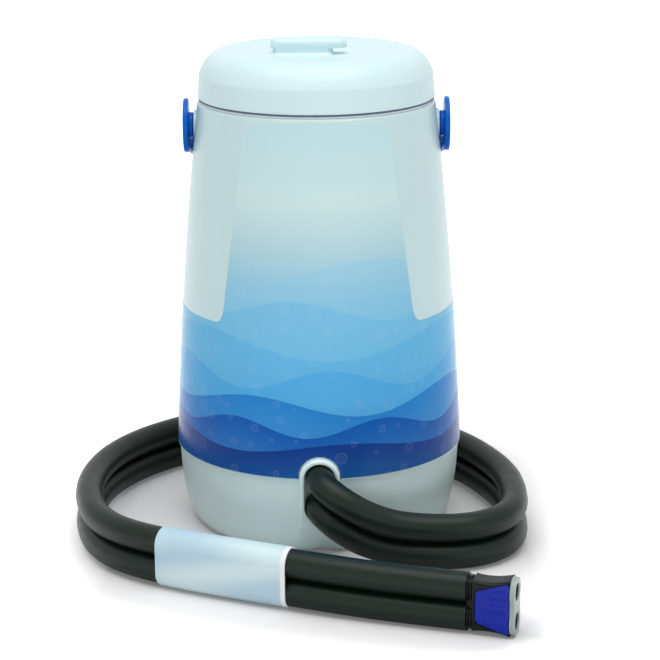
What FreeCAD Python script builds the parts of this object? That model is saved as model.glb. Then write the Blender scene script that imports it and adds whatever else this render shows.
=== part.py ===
import FreeCAD, Part

# Hot and cold therapy machine: an insulated ice and water bucket on a bowl-shaped pump base, with a
# lift-off lid, a swinging bail, and two foam-covered hoses that end in one twin quick coupling.
#
# Millimetres. Z is up, the floor is z = 0, the bucket's axis is the Z axis, and the front, where the
# hoses come out, faces -Y. Each function makes one piece, and the table at the end names them all.

import math
import os

V = FreeCAD.Vector
UP = V(0, 0, 1)

# --- clearances ---------------------------------------------------------------------------------
slip = 0.3            # between pieces that are only laid together
running = 0.05        # radial, between a turning or sliding pin and its hole
screw_fit = 0.1       # radial, round a screw's shank
beyond = 1.0          # cutters run past the faces that they cut by this much
bite = 0.2            # pieces of one moulding run into each other by at least this much

# --- bucket: the machine's main sizes ----------------------------------------------------------------
seam_z = 56.0         # where the base ends and the bucket begins
bucket_height = 242.0
bucket_foot_r = 100.0
bucket_mid_height = 94.7
bucket_mid_inset = 4.95   # how far the side has drawn in at that height
bucket_top_inset = 18.6   # and at the top
bucket_wall = 2.2
bucket_flange = 2.4
bucket_top_round = 1.5
deck_thick = 3.0
deck_slot_length = 48.0   # the outlet's slot in the deck
deck_ledge = 3.4      # inward reach of the ring that holds the deck down
deck_ledge_thick = 2.0

bucket_mid_r = bucket_foot_r - bucket_mid_inset
bucket_top_r = bucket_foot_r - bucket_top_inset
bucket_mid_z = seam_z + bucket_mid_height
bucket_top_z = seam_z + bucket_height

# --- base: a bowl-shaped moulding with the hose outlet on its front --------------------------------
seam_step = 1.4       # the bucket stands this far out over the base
bowl_flare = 14.1     # from where the bowl would meet the floor out to its rim
base_wall = 2.6
base_lift = 0.6       # the bowl's lower edge stays clear of the floor
plate_inset = 2.5
ledge_reach = 6.0     # width of the ledge that takes the bottom plate
ledge_z = 3.4
ledge_thick = 2.5
relief_width = 17.0   # shallow arch in the front of the lower edge
relief_height = 3.4

base_rim_r = bucket_foot_r - seam_step
base_foot_r = base_rim_r - bowl_flare
plate_r = base_foot_r - plate_inset
ledge_r = plate_r - ledge_reach

plate_thick = 2.5
vent_count = 8
vent_length = 14.0
vent_width = 3.0
vent_ring_inset = 44.0
vent_ring_r = plate_r - vent_ring_inset

foot_count = 4
foot_r = 7.0
foot_ring_inset = 22.0
foot_ring_r = plate_r - foot_ring_inset
foot_angle = 45.0
foot_height = 1.9
foot_edge = 0.4

plate_screw_inset = 3.2
plate_screw_ring_r = plate_r - plate_screw_inset
plate_screw_angle = 65.0
case_screw_inset = 20.6
case_screw_ring_r = base_rim_r - case_screw_inset
case_screw_angle = 20.0
screw_count = 4
screw_shank_r = 1.45
screw_head_r = 2.6
screw_head_thick = 1.4
screw_slot_half = 1.5
screw_slot_width = 0.8
screw_slot_depth = 0.6
screw_tip_gap = 1.0   # between a screw's tip and the end of its hole
plate_boss_r = 3.2
plate_boss_height = 8.0
post_r = 4.6
post_web_thick = 2.4
post_top_thick = 6.0  # solid top of a post, under its screw's head
deck_boss_r = 4.0
deck_boss_height = 5.5

# --- hose outlet: an arch moulded with the base, rising over the bucket's lower edge ------------------
outlet_reach = 4.5    # its face stands this far out from the bucket's foot
outlet_depth = 16.5   # face to end wall
outlet_fit = 0.7      # round the hoses, which start to bend inside it
outlet_wall = 3.5
outlet_lip = 1.2      # round of the mouth's inner edge
outlet_end_wall = 3.5
outlet_round = 2.0
outlet_low_drop = 18.3    # lower hose's axis under the seam
outlet_high_rise = 2.2    # upper hose's axis over the seam
outlet_chin_drop = 32.0   # where the sloping chin starts, under the seam
outlet_chin_fall = 13.0   # how far it falls on its way back to the bowl

outlet_face_y = -bucket_foot_r - outlet_reach
outlet_back_y = outlet_face_y + outlet_depth
outlet_low_z = seam_z - outlet_low_drop
outlet_high_z = seam_z + outlet_high_rise
outlet_chin_top = seam_z - outlet_chin_drop
outlet_chin_foot = outlet_chin_top - outlet_chin_fall
deck_slot_y = outlet_back_y + deck_slot_length

# --- tank ---------------------------------------------------------------------------------------------
liner_inset = 9.9     # from the bucket's side to the tank's wall, at the mouth
liner_draft = 4.0
liner_floor_height = 28.0     # tank's floor over the seam
liner_wall = 1.8
liner_corner = 10.0
liner_flange_inset = 1.0
liner_flange_thick = 1.2
gasket_inset = 0.7
gasket_width = 4.3
gasket_thick = 0.9

liner_mouth_r = bucket_top_r - liner_inset
liner_foot_r = liner_mouth_r - liner_draft
liner_floor_z = seam_z + liner_floor_height
liner_flange_r = bucket_top_r - liner_flange_inset
gasket_outer_r = liner_flange_r - gasket_inset
gasket_inner_r = gasket_outer_r - gasket_width

# --- printed wrap ----------------------------------------------------------------------------------------
label_foot_gap = 1.2      # wrap's lower edge over the seam
label_band_height = 101.4
label_top_drop = 7.2      # tongue's upper corners under the bucket's top
label_top_rise = 3.4
label_top_half = 47.5
label_waist_half = 65.0
label_thick = 0.3
label_gap = 0.25
label_corner = 8.0
label_foot_z = seam_z + label_foot_gap
label_band_z = seam_z + label_band_height
label_top_z = bucket_top_z - label_top_drop

# --- bail ---------------------------------------------------------------------------------------------
pivot_drop = 18.0         # pivots under the bucket's top
pivot_pin_r = 5.0
pivot_pad_r = 10.5
pivot_pad_stand = 3.8     # pads' faces stand out from the bucket's top radius
pivot_bore_inset = 5.4    # their blind bores end inside it
pivot_pin_gap = 1.5       # between a pin's end and its bore's end
bail_hub_r = 9.0
bail_ear_r = 18.6
bail_stand = 2.7          # ears' inner faces stand out from the pads
bail_thick = 3.0
bail_width = 22.5
bail_arm = 28.0
bail_over = 22.6          # crown's outer face, past the bucket's top radius
bail_corner_r = 58.0
bail_gap = 0.4            # between the hanging bail and the bucket

pivot_z = bucket_top_z - pivot_drop
pivot_pad_x = bucket_top_r + pivot_pad_stand
pivot_bore_end_x = bucket_top_r - pivot_bore_inset
pivot_pin_end_x = pivot_bore_end_x + pivot_pin_gap
bail_inner_x = pivot_pad_x + bail_stand
bail_reach = bucket_top_r + bail_over

# --- lid ---------------------------------------------------------------------------------------------
lid_gap = 0.2         # lid to gasket
lid_draft = 0.5       # the skirt draws in by this much up to the shoulder
lid_skirt_height = 11.7   # top of the skirt over the bucket's top
lid_height = 33.65        # crown over the bucket's top
lid_crown_inset = 16.1    # from the shoulder in to the crown
lid_wall = 2.2
dish_rim_inset = 2.8
dish_slope = 32.0     # from the dish's rim in to its floor
dish_depth = 2.9
dish_sag = 0.5        # how far the slope hangs under a straight one
pan_slip = 1.1        # pan inside the tank's mouth
pan_depth = 11.0
pan_wall = 1.8
pan_corner = 4.0
grip_length = 52.0
grip_width = 13.3
grip_thick = 7.0
grip_rise = 8.5       # bar's top over the lid's crown
grip_end_r = 5.5
grip_edge_r = 2.2
grip_x = -5.0         # bar's centre, left of the axis
stem_length = 41.0
stem_width = 10.6
stem_end_r = 4.5
stem_shift = -4.0     # stem's centre from the bar's, so that its right end stands free
grip_screw_pitch = 24.0
grip_screw_depth = 8.0

lid_r = bucket_top_r
lid_shoulder_z = bucket_top_z + lid_skirt_height
lid_top_z = bucket_top_z + lid_height
lid_shoulder_r = lid_r - lid_draft
lid_crown_r = lid_shoulder_r - lid_crown_inset
dish_rim_r = lid_crown_r - dish_rim_inset
dish_floor_r = dish_rim_r - dish_slope
pan_r = liner_mouth_r - pan_slip
pan_flange_r = lid_r - lid_wall - slip
grip_top_z = lid_top_z + grip_rise
stem_x = grip_x + stem_shift

# --- pump, standing under the bucket's floor ---------------------------------------------------------
pump_y = 18.0
pump_r = 21.0
pump_drop = 22.5      # under the seam
pump_back_thick = 2.5
pump_case_height = 11.0
pump_case_wall = 2.0
pump_inlet_r = 8.4
pump_inlet_height = 6.0
pump_outlet_r = 4.6
pump_outlet_length = 12.0
motor_r = 14.5
motor_foot_z = 6.0
motor_edge_r = 1.2
shaft_r = 2.0
shaft_inside = 17.5   # length of shaft inside the motor
impeller_r = 15.6
impeller_hub_r = 4.6
impeller_disc = 1.2
impeller_gap = 1.0    # over the back plate
impeller_vanes = 6
vane_thick = 1.4
vane_height = 3.6
vane_sweep = 55.0     # degrees that a vane turns from hub to tip
cradle_wall = 2.0
cradle_height = 6.0
pump_floor_z = seam_z - pump_drop
shaft_foot_z = pump_floor_z - shaft_inside

tube_r = 5.0          # soft tubes inside the base
tube_bore_r = 3.35
barb_r = 3.25
passage_r = 2.2
barb_length = 11.0
supply_run_out = 26.0     # supply tube's first run, from the pump
supply_run_in = 30.0      # and its last, to the outlet
return_run = 24.0         # return tube's first run, from the outlet

suction_r = 6.0
suction_bore_r = 4.0
bulkhead_flange_r = 11.0
bulkhead_flange_thick = 2.4
bulkhead_nut_r = 9.5
bulkhead_nut_thick = 4.0
strainer_r = 16.5
strainer_height = 13.0
strainer_wall = 1.5
strainer_round = 3.0
strainer_slots = 8
strainer_slot_width = 3.0

return_x = -31.5
return_y = -31.5
return_stem_r = 4.9
return_stem_gap = 1.0     # from the nut's lower face to the barb
return_spout_height = 12.0

# --- power inlet, low on the back -----------------------------------------------------------------------
inlet_angle = 135.0   # from +X towards +Y
inlet_drop = 26.0     # under the seam
inlet_face_inset = 3.6    # flat that its flange lies on, inside the base's rim radius
inlet_flange_r = 7.0
inlet_flange_thick = 1.5
inlet_body_r = 5.4
inlet_body_length = 14.0
inlet_bore_r = 2.75
inlet_bore_depth = 9.5
inlet_pin_r = 1.05
inlet_pin_short = 0.6     # pin's tip under the socket's face
inlet_nut_r = 7.6
inlet_nut_thick = 2.5
inlet_boss_r = 9.0
inlet_boss_depth = 4.5
wire_r = 0.9
wire_spacing = 4.0
wire_run = 16.0       # wires' first run, from the socket
wire_bend = (-34.0, 34.0, 24.0)   # where they turn to the motor
wire_end_z = 20.0
wire_end_y = 2.0      # past the motor's axis
wire_sink = 0.3       # into the motor's side

inlet_z = seam_z - inlet_drop
inlet_face_r = base_rim_r - inlet_face_inset
inlet_boss_inner_r = inlet_face_r - inlet_boss_depth

# --- hoses: one route each, from the outlet, round the machine, to the coupling -----------------------
hose_r = 9.5
hose_spacing = 19.3
sleeve_lift = 1.2     # the sleeve lies under the lower hose, so it lifts both there
low_z = hose_r
high_z = hose_r + hose_spacing
collar_depth = 10.0   # the hoses' ends meet their fittings' collars this far inside the outlet
collar_y = outlet_face_y + collar_depth
collar_r = 8.0
fitting_stem_r = 4.1
fitting_nut_r = 7.4
fitting_nut_thick = 3.0

# The routes are drawn round a bucket of this foot radius, and spread with it.
route_foot_r = 100.0
ROUND_THE_MACHINE = [
    (80, -121), (104, -117), (123, -102.5), (133, -80), (135, -49), (133.5, -16), (124, 19),
    (105, 61), (71, 99), (20, 121), (-36, 124.5), (-89, 114), (-126, 81), (-151, 40),
    (-162, -8), (-160.5, -57), (-147, -104.5),
]
SLEEVED = [(-110, -142.5), (-9, -189)]
TO_THE_COUPLING = [(42, -208), (92, -223.6)]
# Each hose's way down from the outlet: X, how far in front of the outlet's face, and the height as a share
# of the drop from the outlet's axis to where it lies.
HIGH_DROP = [(0, 2.4, 1), (5.6, 13.5, 0.891), (15.2, 20, 0.7), (30, 20.5, 0.391), (51, 18.5, 0.109)]
LOW_DROP = [(0, 1.9, 1), (5, 10.7, 0.883), (13.4, 15.1, 0.677), (28, 15.1, 0.344), (50, 15, 0.089)]

sleeve_length = 99.5
sleeve_wall = 1.0
sleeve_fit = 0.15

# --- twin coupling: measured along its own axis from the hoses' ends ----------------------------------
neck_length = 4.0
neck_r = 6.6
neck_rib_r = 8.2
neck_rib_thick = 0.8
neck_rib_at = (0.6, 2.4)
neck_web_half = 4.0   # plate that joins the two necks
coupling_start_half = 17.0   # half height at the hose end
coupling_waist_half = 16.2
coupling_end_half = 18.5
coupling_waist_at = 13.0
coupling_end = 28.0
coupling_half_thick = 8.2
coupling_edge_r = 2.5
flange_thick = 3.0
flange_r = 9.3         # round each port
flange_waist_half = 7.9    # half thickness between the ports
flange_waist_r = 5.0
port_r = 5.75
port_depth = 11.0
seat_r = 3.2
seat_thick = 1.4
chamber_r = 4.7
chamber_start = 8.0
hose_passage_r = 2.5
poppet_head_r = 4.3
poppet_head_thick = 2.6
poppet_nose_r = 2.4
poppet_nose_short = 0.1
poppet_stem_r = 1.3
poppet_stem_length = 5.0
spring_r = 3.4
spring_wire = 0.7
spring_turns = 3
spring_pitch = 1.6
spring_groove = 0.6
seal_at = 29.5
seal_width = 1.1
seal_outer_r = 6.8
pad_start = 6.0
pad_end = 27.6
pad_start_half = 10.3
pad_end_half = 17.2
pad_proud = 0.8
pad_thick = 1.1
pad_ridge = 0.5       # finger ridges along the coupling
pad_ridge_r = 4.0
pad_ridge_at = (-9.0, 0.0, 9.0)
pad_ridge_start = 13.5
pad_ridge_end = 26.4
pad_travel = 1.0
pad_stem_half = 2.2
pad_stem_start = 15.0
pad_stem_end = 21.0
pad_stem_depth = 3.4
pad_corner = 2.5
recess_side = 0.4


# --- small tools -------------------------------------------------------------------------------------
def line(a, b):
    """Straight edge between two (radius, height) points of a turned profile."""
    return Part.LineSegment(V(a[0], 0, a[1]), V(b[0], 0, b[1])).toShape()


def bow(a, m, b):
    """Arc through three (radius, height) points of a turned profile."""
    return Part.Arc(V(a[0], 0, a[1]), V(m[0], 0, m[1]), V(b[0], 0, b[1])).toShape()


def corner(a, centre, b):
    """Quarter-like arc from a to b about centre, bulging away from it."""
    radius = math.hypot(a[0] - centre[0], a[1] - centre[1])
    mid = (a[0] + b[0]) / 2 - centre[0], (a[1] + b[1]) / 2 - centre[1]
    reach = math.hypot(*mid)
    return bow(a, (centre[0] + mid[0] / reach * radius, centre[1] + mid[1] / reach * radius), b)


def turned(edges):
    """Solid turned round the Z axis from the edges of a closed profile."""
    face = Part.Face(Part.Wire(Part.__sortEdges__(edges)))
    return face.revolve(V(0, 0, 0), UP, 360)


def outline(points):
    """Edges of a closed profile through (radius, height) points."""
    return [line(a, b) for a, b in zip(points, points[1:] + points[:1])]


def rod(radius, start, end):
    """Cylinder between two points."""
    axis = end - start
    return Part.makeCylinder(radius, axis.Length, start, axis)


def upright(radius, x, y, z0, z1):
    """Upright cylinder at (x, y)."""
    return rod(radius, V(x, y, z0), V(x, y, z1))


def block(x0, x1, y0, y1, z0, z1):
    """Box between six planes."""
    return Part.makeBox(x1 - x0, y1 - y0, z1 - z0, V(x0, y0, z0))


def on_ring(radius, first_angle, count):
    """(x, y) places evenly round the axis."""
    angles = [math.radians(first_angle + 360.0 * k / count) for k in range(count)]
    return [(radius * math.cos(a), radius * math.sin(a)) for a in angles]


def joined(shapes):
    """One solid from pieces that overlap."""
    result = shapes[0]
    for shape in shapes[1:]:
        result = result.fuse(shape)
    return result.removeSplitter()


def less(shape, cutters):
    """A shape with each cutter taken away."""
    for cutter in cutters:
        shape = shape.cut(cutter)
    return shape


def mirrored_x(shape):
    """Copy on the other side of the X = 0 plane."""
    return shape.mirror(V(0, 0, 0), V(1, 0, 0))


def slab_with_round_corners(length, width, z0, z1, radius):
    """Upright plate centred on the axis, with rounded vertical edges."""
    box = block(-length / 2, length / 2, -width / 2, width / 2, z0, z1)
    vertical = [e for e in box.Edges if abs(e.Length - (z1 - z0)) < 1e-6 and is_along(e, UP)]
    return box.makeFillet(radius, vertical)


def is_along(edge, direction):
    """Whether a straight edge runs along a direction."""
    if not isinstance(edge.Curve, Part.Line):
        return False
    return abs(abs(edge.tangentAt(edge.FirstParameter).dot(direction)) - 1) < 1e-6


# --- the bucket's and the bowl's curved sides ----------------------------------------------------------
def circle_through(a, b, c):
    """Centre and radius of the circle through three (radius, height) points."""
    circle = bow(a, b, c).Curve
    return circle.Center.x, circle.Center.z, circle.Radius


SIDE_X, SIDE_Z, SIDE_R = circle_through(
    (bucket_foot_r, seam_z), (bucket_mid_r, bucket_mid_z), (bucket_top_r, bucket_top_z))


def bucket_r(z, inset=0.0):
    """Bucket's radius at a height, this far inside its outer face."""
    return SIDE_X + math.sqrt((SIDE_R - inset) ** 2 - (z - SIDE_Z) ** 2)


def bucket_side(z0, z1, inset=0.0):
    """Edge along the bucket's side between two heights."""
    middle = (z0 + z1) / 2
    return bow((bucket_r(z0, inset), z0), (bucket_r(middle, inset), middle), (bucket_r(z1, inset), z1))


def bowl_r(z, inset=0.0):
    """Base's radius at a height: a quarter ellipse that stands upright at the seam."""
    rise = (seam_z - z) / (seam_z - inset)
    return base_foot_r + (base_rim_r - base_foot_r - inset) * math.sqrt(1 - rise ** 2)


def bowl_side(z0, z1, inset=0.0):
    """Edge along the base's elliptic side between two heights."""
    across = base_rim_r - base_foot_r - inset
    down = seam_z - inset
    centre = V(base_foot_r, 0, seam_z)
    ellipse = Part.Ellipse(centre + V(0, 0, -down), centre + V(across, 0, 0), centre)
    angles = [math.acos((seam_z - z) / down) for z in (z0, z1)]
    return Part.ArcOfEllipse(ellipse, angles[0], angles[1]).toShape()


# --- hoses, tubes and wires ------------------------------------------------------------------------------
def rounded_route(points):
    """Path of straight runs joined by tangent arcs, each as large as its two runs allow."""
    places = [V(*p) for p in points]
    edges = []
    radii = []
    start = places[0]
    for before, here, after in zip(places, places[1:], places[2:]):
        into = here - before
        out = after - here
        reach = 0.45 * min(into.Length, out.Length)
        into.normalize()
        out.normalize()
        half_turn = into.getAngle(out) / 2
        radius = reach / math.tan(half_turn)
        inward = (out - into).normalize()
        arc_start = here - into * reach
        arc_end = here + out * reach
        middle = here + inward * (radius / math.cos(half_turn) - radius)
        edges.append(Part.LineSegment(start, arc_start).toShape())
        edges.append(Part.Arc(arc_start, middle, arc_end).toShape())
        radii.append(radius)
        start = arc_end
    edges.append(Part.LineSegment(start, places[-1]).toShape())
    return Part.Wire(edges), radii


def swept(points, radius):
    """Round bar along a rounded route."""
    path, _ = rounded_route(points)
    first = V(*points[1]) - V(*points[0])
    section = Part.Wire(Part.Circle(V(*points[0]), first, radius).toShape())
    return path.makePipeShell([section], True, False)


def soft_tube(points):
    """Hollow tube inside the base."""
    return swept(points, tube_r).cut(swept(points, tube_bore_r))


def spread_out(places):
    """Places of a route, spread with the bucket's size."""
    spread = bucket_foot_r / route_foot_r
    return [(x * spread, y * spread) for x, y in places]


def hose_route(drop, outlet_z, floor_z):
    """A hose's points: down from the outlet, round the machine, through the sleeve, to the coupling."""
    falling = [(0, collar_y, outlet_z)]
    falling += [(x, outlet_face_y - y, floor_z + (outlet_z - floor_z) * share) for x, y, share in drop]
    lying = [(x, y, floor_z) for x, y in spread_out(ROUND_THE_MACHINE)]
    sleeved = [(x, y, floor_z + sleeve_lift) for x, y in spread_out(SLEEVED)]
    ending = [(x, y, floor_z) for x, y in spread_out(TO_THE_COUPLING)]
    return falling + lying + sleeved + ending


HIGH_ROUTE = hose_route(HIGH_DROP, outlet_high_z, high_z)
LOW_ROUTE = hose_route(LOW_DROP, outlet_low_z, low_z)


# --- base -------------------------------------------------------------------------------------------------
def outlet_prism(half_width, y0, y1, foot_z, arch_z):
    """Arch-shaped prism: straight sides from foot_z up to a half circle centred at arch_z."""
    top = rod(half_width, V(0, y0, arch_z), V(0, y1, arch_z))
    return joined([block(-half_width, half_width, y0, y1, foot_z, arch_z), top])


def outlet_outer_r():
    """Half width of the outlet's arch outside."""
    return hose_r + outlet_fit + outlet_wall


def outlet_housing():
    """Arch round both hoses, with a rounded front edge and a chin that slopes back to the bowl."""
    half = outlet_outer_r()
    arch = outlet_prism(half, outlet_face_y, outlet_back_y, outlet_chin_foot, outlet_high_z)
    front = [e for e in arch.Edges if all(abs(v.Point.y - outlet_face_y) < 1e-6 for v in e.Vertexes)]
    front = [e for e in front if not is_along(e, V(1, 0, 0))]
    arch = arch.makeFillet(outlet_round, front)
    low_back_y = -bowl_r(outlet_chin_foot)
    side_x, front_y, under_z = -half - beyond, outlet_face_y - beyond, outlet_chin_foot - beyond
    wedge = Part.Face(Part.makePolygon([
        V(side_x, front_y, outlet_chin_top), V(side_x, outlet_face_y, outlet_chin_top),
        V(side_x, low_back_y, under_z), V(side_x, front_y, under_z), V(side_x, front_y, outlet_chin_top)]))
    return arch.cut(wedge.extrude(V(-2 * side_x, 0, 0)))


def outlet_channel():
    """Space for the two hoses, from the outlet's face to its end wall."""
    back_y = outlet_back_y - outlet_end_wall
    radius = hose_r + outlet_fit
    ends = [rod(radius, V(0, outlet_face_y, z), V(0, back_y, z)) for z in (outlet_low_z, outlet_high_z)]
    middle = block(-radius, radius, outlet_face_y, back_y, outlet_low_z, outlet_high_z)
    return joined(ends + [middle])


def outlet_flare():
    """Cutter that rounds the inner edge of the outlet's mouth."""
    radius = hose_r + outlet_fit
    middle_z = (outlet_low_z + outlet_high_z) / 2
    half = (outlet_high_z - outlet_low_z) / 2
    lip_bow = outlet_lip * (1 - math.sqrt(0.5))
    bell = Part.Face(Part.Wire([
        line((0, 0), (radius + outlet_lip, 0)),
        bow((radius + outlet_lip, 0), (radius + lip_bow, lip_bow), (radius, outlet_lip)),
        line((radius, outlet_lip), (0, outlet_lip)), line((0, outlet_lip), (0, 0))]))
    turned_end = bell.revolve(V(0, 0, 0), UP, 360)
    solids = []
    for dz in (-half, half):
        end = turned_end.copy()
        end.rotate(V(0, 0, 0), V(1, 0, 0), -90)
        end.translate(V(0, outlet_face_y, middle_z + dz))
        solids.append(end)
    other = bell.mirror(V(0, 0, 0), V(1, 0, 0))
    for side in (bell, other):
        side = side.extrude(V(0, 2 * half, 0))
        side.rotate(V(0, 0, 0), V(1, 0, 0), -90)
        side.translate(V(0, outlet_face_y, middle_z + half))
        solids.append(side)
    return joined(solids)


def inlet_place(radius, dz=0.0):
    """Point on the power inlet's axis at a distance from the machine's axis."""
    angle = math.radians(inlet_angle)
    return V(radius * math.cos(angle), radius * math.sin(angle), inlet_z + dz)


def base_shell():
    """Bowl with the ledge for the bottom plate, screw posts, hose outlet and inlet boss."""
    ledge_top = ledge_z + ledge_thick
    recess_r = plate_r + slip
    bowl = turned([
        bowl_side(base_lift, seam_z),
        line((base_rim_r, seam_z), (base_rim_r - base_wall, seam_z)),
        bowl_side(ledge_top, seam_z, base_wall),
        line((bowl_r(ledge_top, base_wall), ledge_top), (ledge_r, ledge_top)),
        line((ledge_r, ledge_top), (ledge_r, ledge_z)),
        line((ledge_r, ledge_z), (recess_r, ledge_z)),
        line((recess_r, ledge_z), (recess_r, base_lift)),
        line((recess_r, base_lift), (bowl_r(base_lift), base_lift))])
    filled = turned([
        bowl_side(ledge_z, seam_z), line((0, ledge_z), (bowl_r(ledge_z), ledge_z)),
        line((0, ledge_z), (0, seam_z)), line((0, seam_z), (base_rim_r, seam_z))])
    solids = [bowl, outlet_housing()]
    holes = []
    for k, (x, y) in enumerate(on_ring(case_screw_ring_r, case_screw_angle, screw_count)):
        web = block(case_screw_ring_r, base_rim_r, -post_web_thick / 2, post_web_thick / 2, ledge_z, seam_z)
        web.rotate(V(0, 0, 0), UP, case_screw_angle + 360.0 * k / screw_count)
        solids.append(web.common(filled))
        solids.append(upright(post_r, x, y, ledge_z, seam_z))
        holes.append(upright(screw_head_r + slip, x, y, ledge_z - beyond, seam_z - post_top_thick))
        holes.append(upright(screw_shank_r + screw_fit, x, y, ledge_z, seam_z + beyond))
    for x, y in on_ring(plate_screw_ring_r, plate_screw_angle, screw_count):
        solids.append(upright(plate_boss_r, x, y, ledge_z, ledge_z + plate_boss_height))
        holes.append(upright(screw_shank_r + running, x, y, ledge_z - beyond, ledge_z + plate_boss_height + beyond))
    solids.append(rod(inlet_boss_r, inlet_place(inlet_boss_inner_r), inlet_place(inlet_face_r)))
    holes.append(rod(inlet_flange_r + slip, inlet_place(inlet_face_r), inlet_place(base_rim_r + beyond)))
    holes.append(rod(inlet_body_r + screw_fit, inlet_place(inlet_boss_inner_r - beyond), inlet_place(base_rim_r)))
    back_y = outlet_back_y + beyond
    for z in (outlet_low_z, outlet_high_z):
        holes.append(rod(fitting_stem_r + screw_fit, V(0, outlet_face_y, z), V(0, back_y, z)))
    holes.append(outlet_channel())
    holes.append(outlet_flare())
    relief_r = (relief_width ** 2 / 4 + relief_height ** 2) / (2 * relief_height)
    relief_z = base_lift + relief_height - relief_r
    holes.append(rod(relief_r, V(0, -base_rim_r, relief_z), V(0, -recess_r, relief_z)))
    return less(joined(solids), holes)


def base_plate():
    """Bottom plate with vents, pockets for the feet and a cradle for the motor."""
    foot_z = ledge_z - plate_thick
    solids = [upright(plate_r, 0, 0, foot_z, ledge_z)]
    solids.append(upright(motor_r + slip + cradle_wall, 0, pump_y, foot_z, motor_foot_z + cradle_height))
    holes = [upright(motor_r + slip, 0, pump_y, motor_foot_z, motor_foot_z + cradle_height + beyond)]
    for x, y in on_ring(foot_ring_r, foot_angle, foot_count):
        holes.append(upright(foot_r + screw_fit, x, y, foot_z - beyond, foot_height))
    for x, y in on_ring(plate_screw_ring_r, plate_screw_angle, screw_count):
        holes.append(upright(screw_shank_r + screw_fit, x, y, foot_z - beyond, ledge_z + beyond))
        holes.append(upright(screw_head_r + screw_fit, x, y, foot_z - beyond, foot_z + screw_head_thick))
    for k in range(vent_count):
        slot = block(vent_ring_r - vent_length / 2, vent_ring_r + vent_length / 2,
                     -vent_width / 2, vent_width / 2, foot_z - beyond, ledge_z + beyond)
        slot.rotate(V(0, 0, 0), UP, 360.0 * k / vent_count + 180.0 / vent_count)
        holes.append(slot)
    return less(joined(solids), holes)


def rubber_feet():
    """Four rubber feet pressed into the bottom plate."""
    feet = []
    for x, y in on_ring(foot_ring_r, foot_angle, foot_count):
        foot = turned(outline([(0, 0), (foot_r - foot_edge, 0), (foot_r, foot_edge),
                               (foot_r, foot_height), (0, foot_height)]))
        foot.translate(V(x, y, 0))
        feet.append(foot)
    return Part.makeCompound(feet)


def screw(x, y, head_z, tip_z):
    """Pan-head screw standing on its head, with a drive recess."""
    head = upright(screw_head_r, x, y, head_z, head_z + screw_head_thick)
    shank = upright(screw_shank_r, x, y, head_z, tip_z)
    slot = block(x - screw_slot_half, x + screw_slot_half, y - screw_slot_width / 2, y + screw_slot_width / 2,
                 head_z, head_z + screw_slot_depth)
    return joined([head, shank]).cut(slot)


def plate_screws():
    """Screws that hold the bottom plate."""
    head_z = ledge_z - plate_thick
    tip_z = ledge_z + plate_boss_height - screw_tip_gap
    places = on_ring(plate_screw_ring_r, plate_screw_angle, screw_count)
    return Part.makeCompound([screw(x, y, head_z, tip_z) for x, y in places])


def case_screws():
    """Long-reach screws that pull the deck down on the base."""
    head_z = seam_z - post_top_thick - screw_head_thick
    tip_z = seam_z + deck_thick + deck_boss_height - screw_tip_gap
    places = on_ring(case_screw_ring_r, case_screw_angle, screw_count)
    return Part.makeCompound([screw(x, y, head_z, tip_z) for x, y in places])


# --- bucket -------------------------------------------------------------------------------------------------
def outlet_clearance(gap, y1):
    """Arch that pieces round and behind the outlet are cut back to."""
    return outlet_prism(outlet_outer_r() + gap, outlet_face_y - beyond, y1, outlet_chin_foot, outlet_high_z)


def deck_plate():
    """Deck between the pump space and the insulation."""
    radius = bucket_r(seam_z, bucket_wall) - slip
    top_z = seam_z + deck_thick
    solids = [upright(radius, 0, 0, seam_z, top_z)]
    holes = [outlet_clearance(slip, deck_slot_y)]
    for x, y in on_ring(case_screw_ring_r, case_screw_angle, screw_count):
        solids.append(upright(deck_boss_r, x, y, seam_z, top_z + deck_boss_height))
        holes.append(upright(screw_shank_r + running, x, y, seam_z - beyond, top_z + deck_boss_height + beyond))
    holes.append(upright(suction_r + slip, 0, pump_y, seam_z - beyond, top_z + beyond))
    holes.append(upright(tube_r + slip, return_x, return_y, seam_z - beyond, top_z + beyond))
    return less(joined(solids), holes)


def bucket_shell():
    """Outer wall, open below, with a flange at the mouth, the deck's ring and the bail's pads."""
    ring_z = seam_z + deck_thick
    ring_top = ring_z + deck_ledge_thick
    ring_r = bucket_r(ring_z, bucket_wall) - deck_ledge
    round_z = bucket_top_z - bucket_top_round
    flange_z = bucket_top_z - bucket_flange
    mouth_r = liner_mouth_r + liner_wall + slip
    edge_r = bucket_r(round_z)
    wall = turned([
        bucket_side(seam_z, round_z),
        corner((edge_r, round_z), (edge_r - bucket_top_round, round_z),
               (edge_r - bucket_top_round, bucket_top_z)),
        line((edge_r - bucket_top_round, bucket_top_z), (mouth_r, bucket_top_z)),
        line((mouth_r, bucket_top_z), (mouth_r, flange_z)),
        line((mouth_r, flange_z), (bucket_r(flange_z, bucket_wall), flange_z)),
        bucket_side(ring_top, flange_z, bucket_wall),
        line((bucket_r(ring_top, bucket_wall), ring_top), (ring_r, ring_top)),
        line((ring_r, ring_top), (ring_r, ring_z)),
        line((ring_r, ring_z), (bucket_r(ring_z, bucket_wall), ring_z)),
        bucket_side(seam_z, ring_z, bucket_wall),
        line((bucket_r(seam_z, bucket_wall), seam_z), (bucket_foot_r, seam_z))])
    solids = [wall]
    holes = [outlet_clearance(slip, outlet_back_y)]
    for side in (-1, 1):
        inner = V(side * (pivot_bore_end_x - bucket_wall), 0, pivot_z)
        bore_end = V(side * pivot_bore_end_x, 0, pivot_z)
        solids.append(rod(pivot_pad_r, inner, V(side * pivot_pad_x, 0, pivot_z)))
        holes.append(rod(pivot_pin_r + running, bore_end, V(side * bucket_foot_r, 0, pivot_z)))
    return less(joined(solids), holes)


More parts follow.
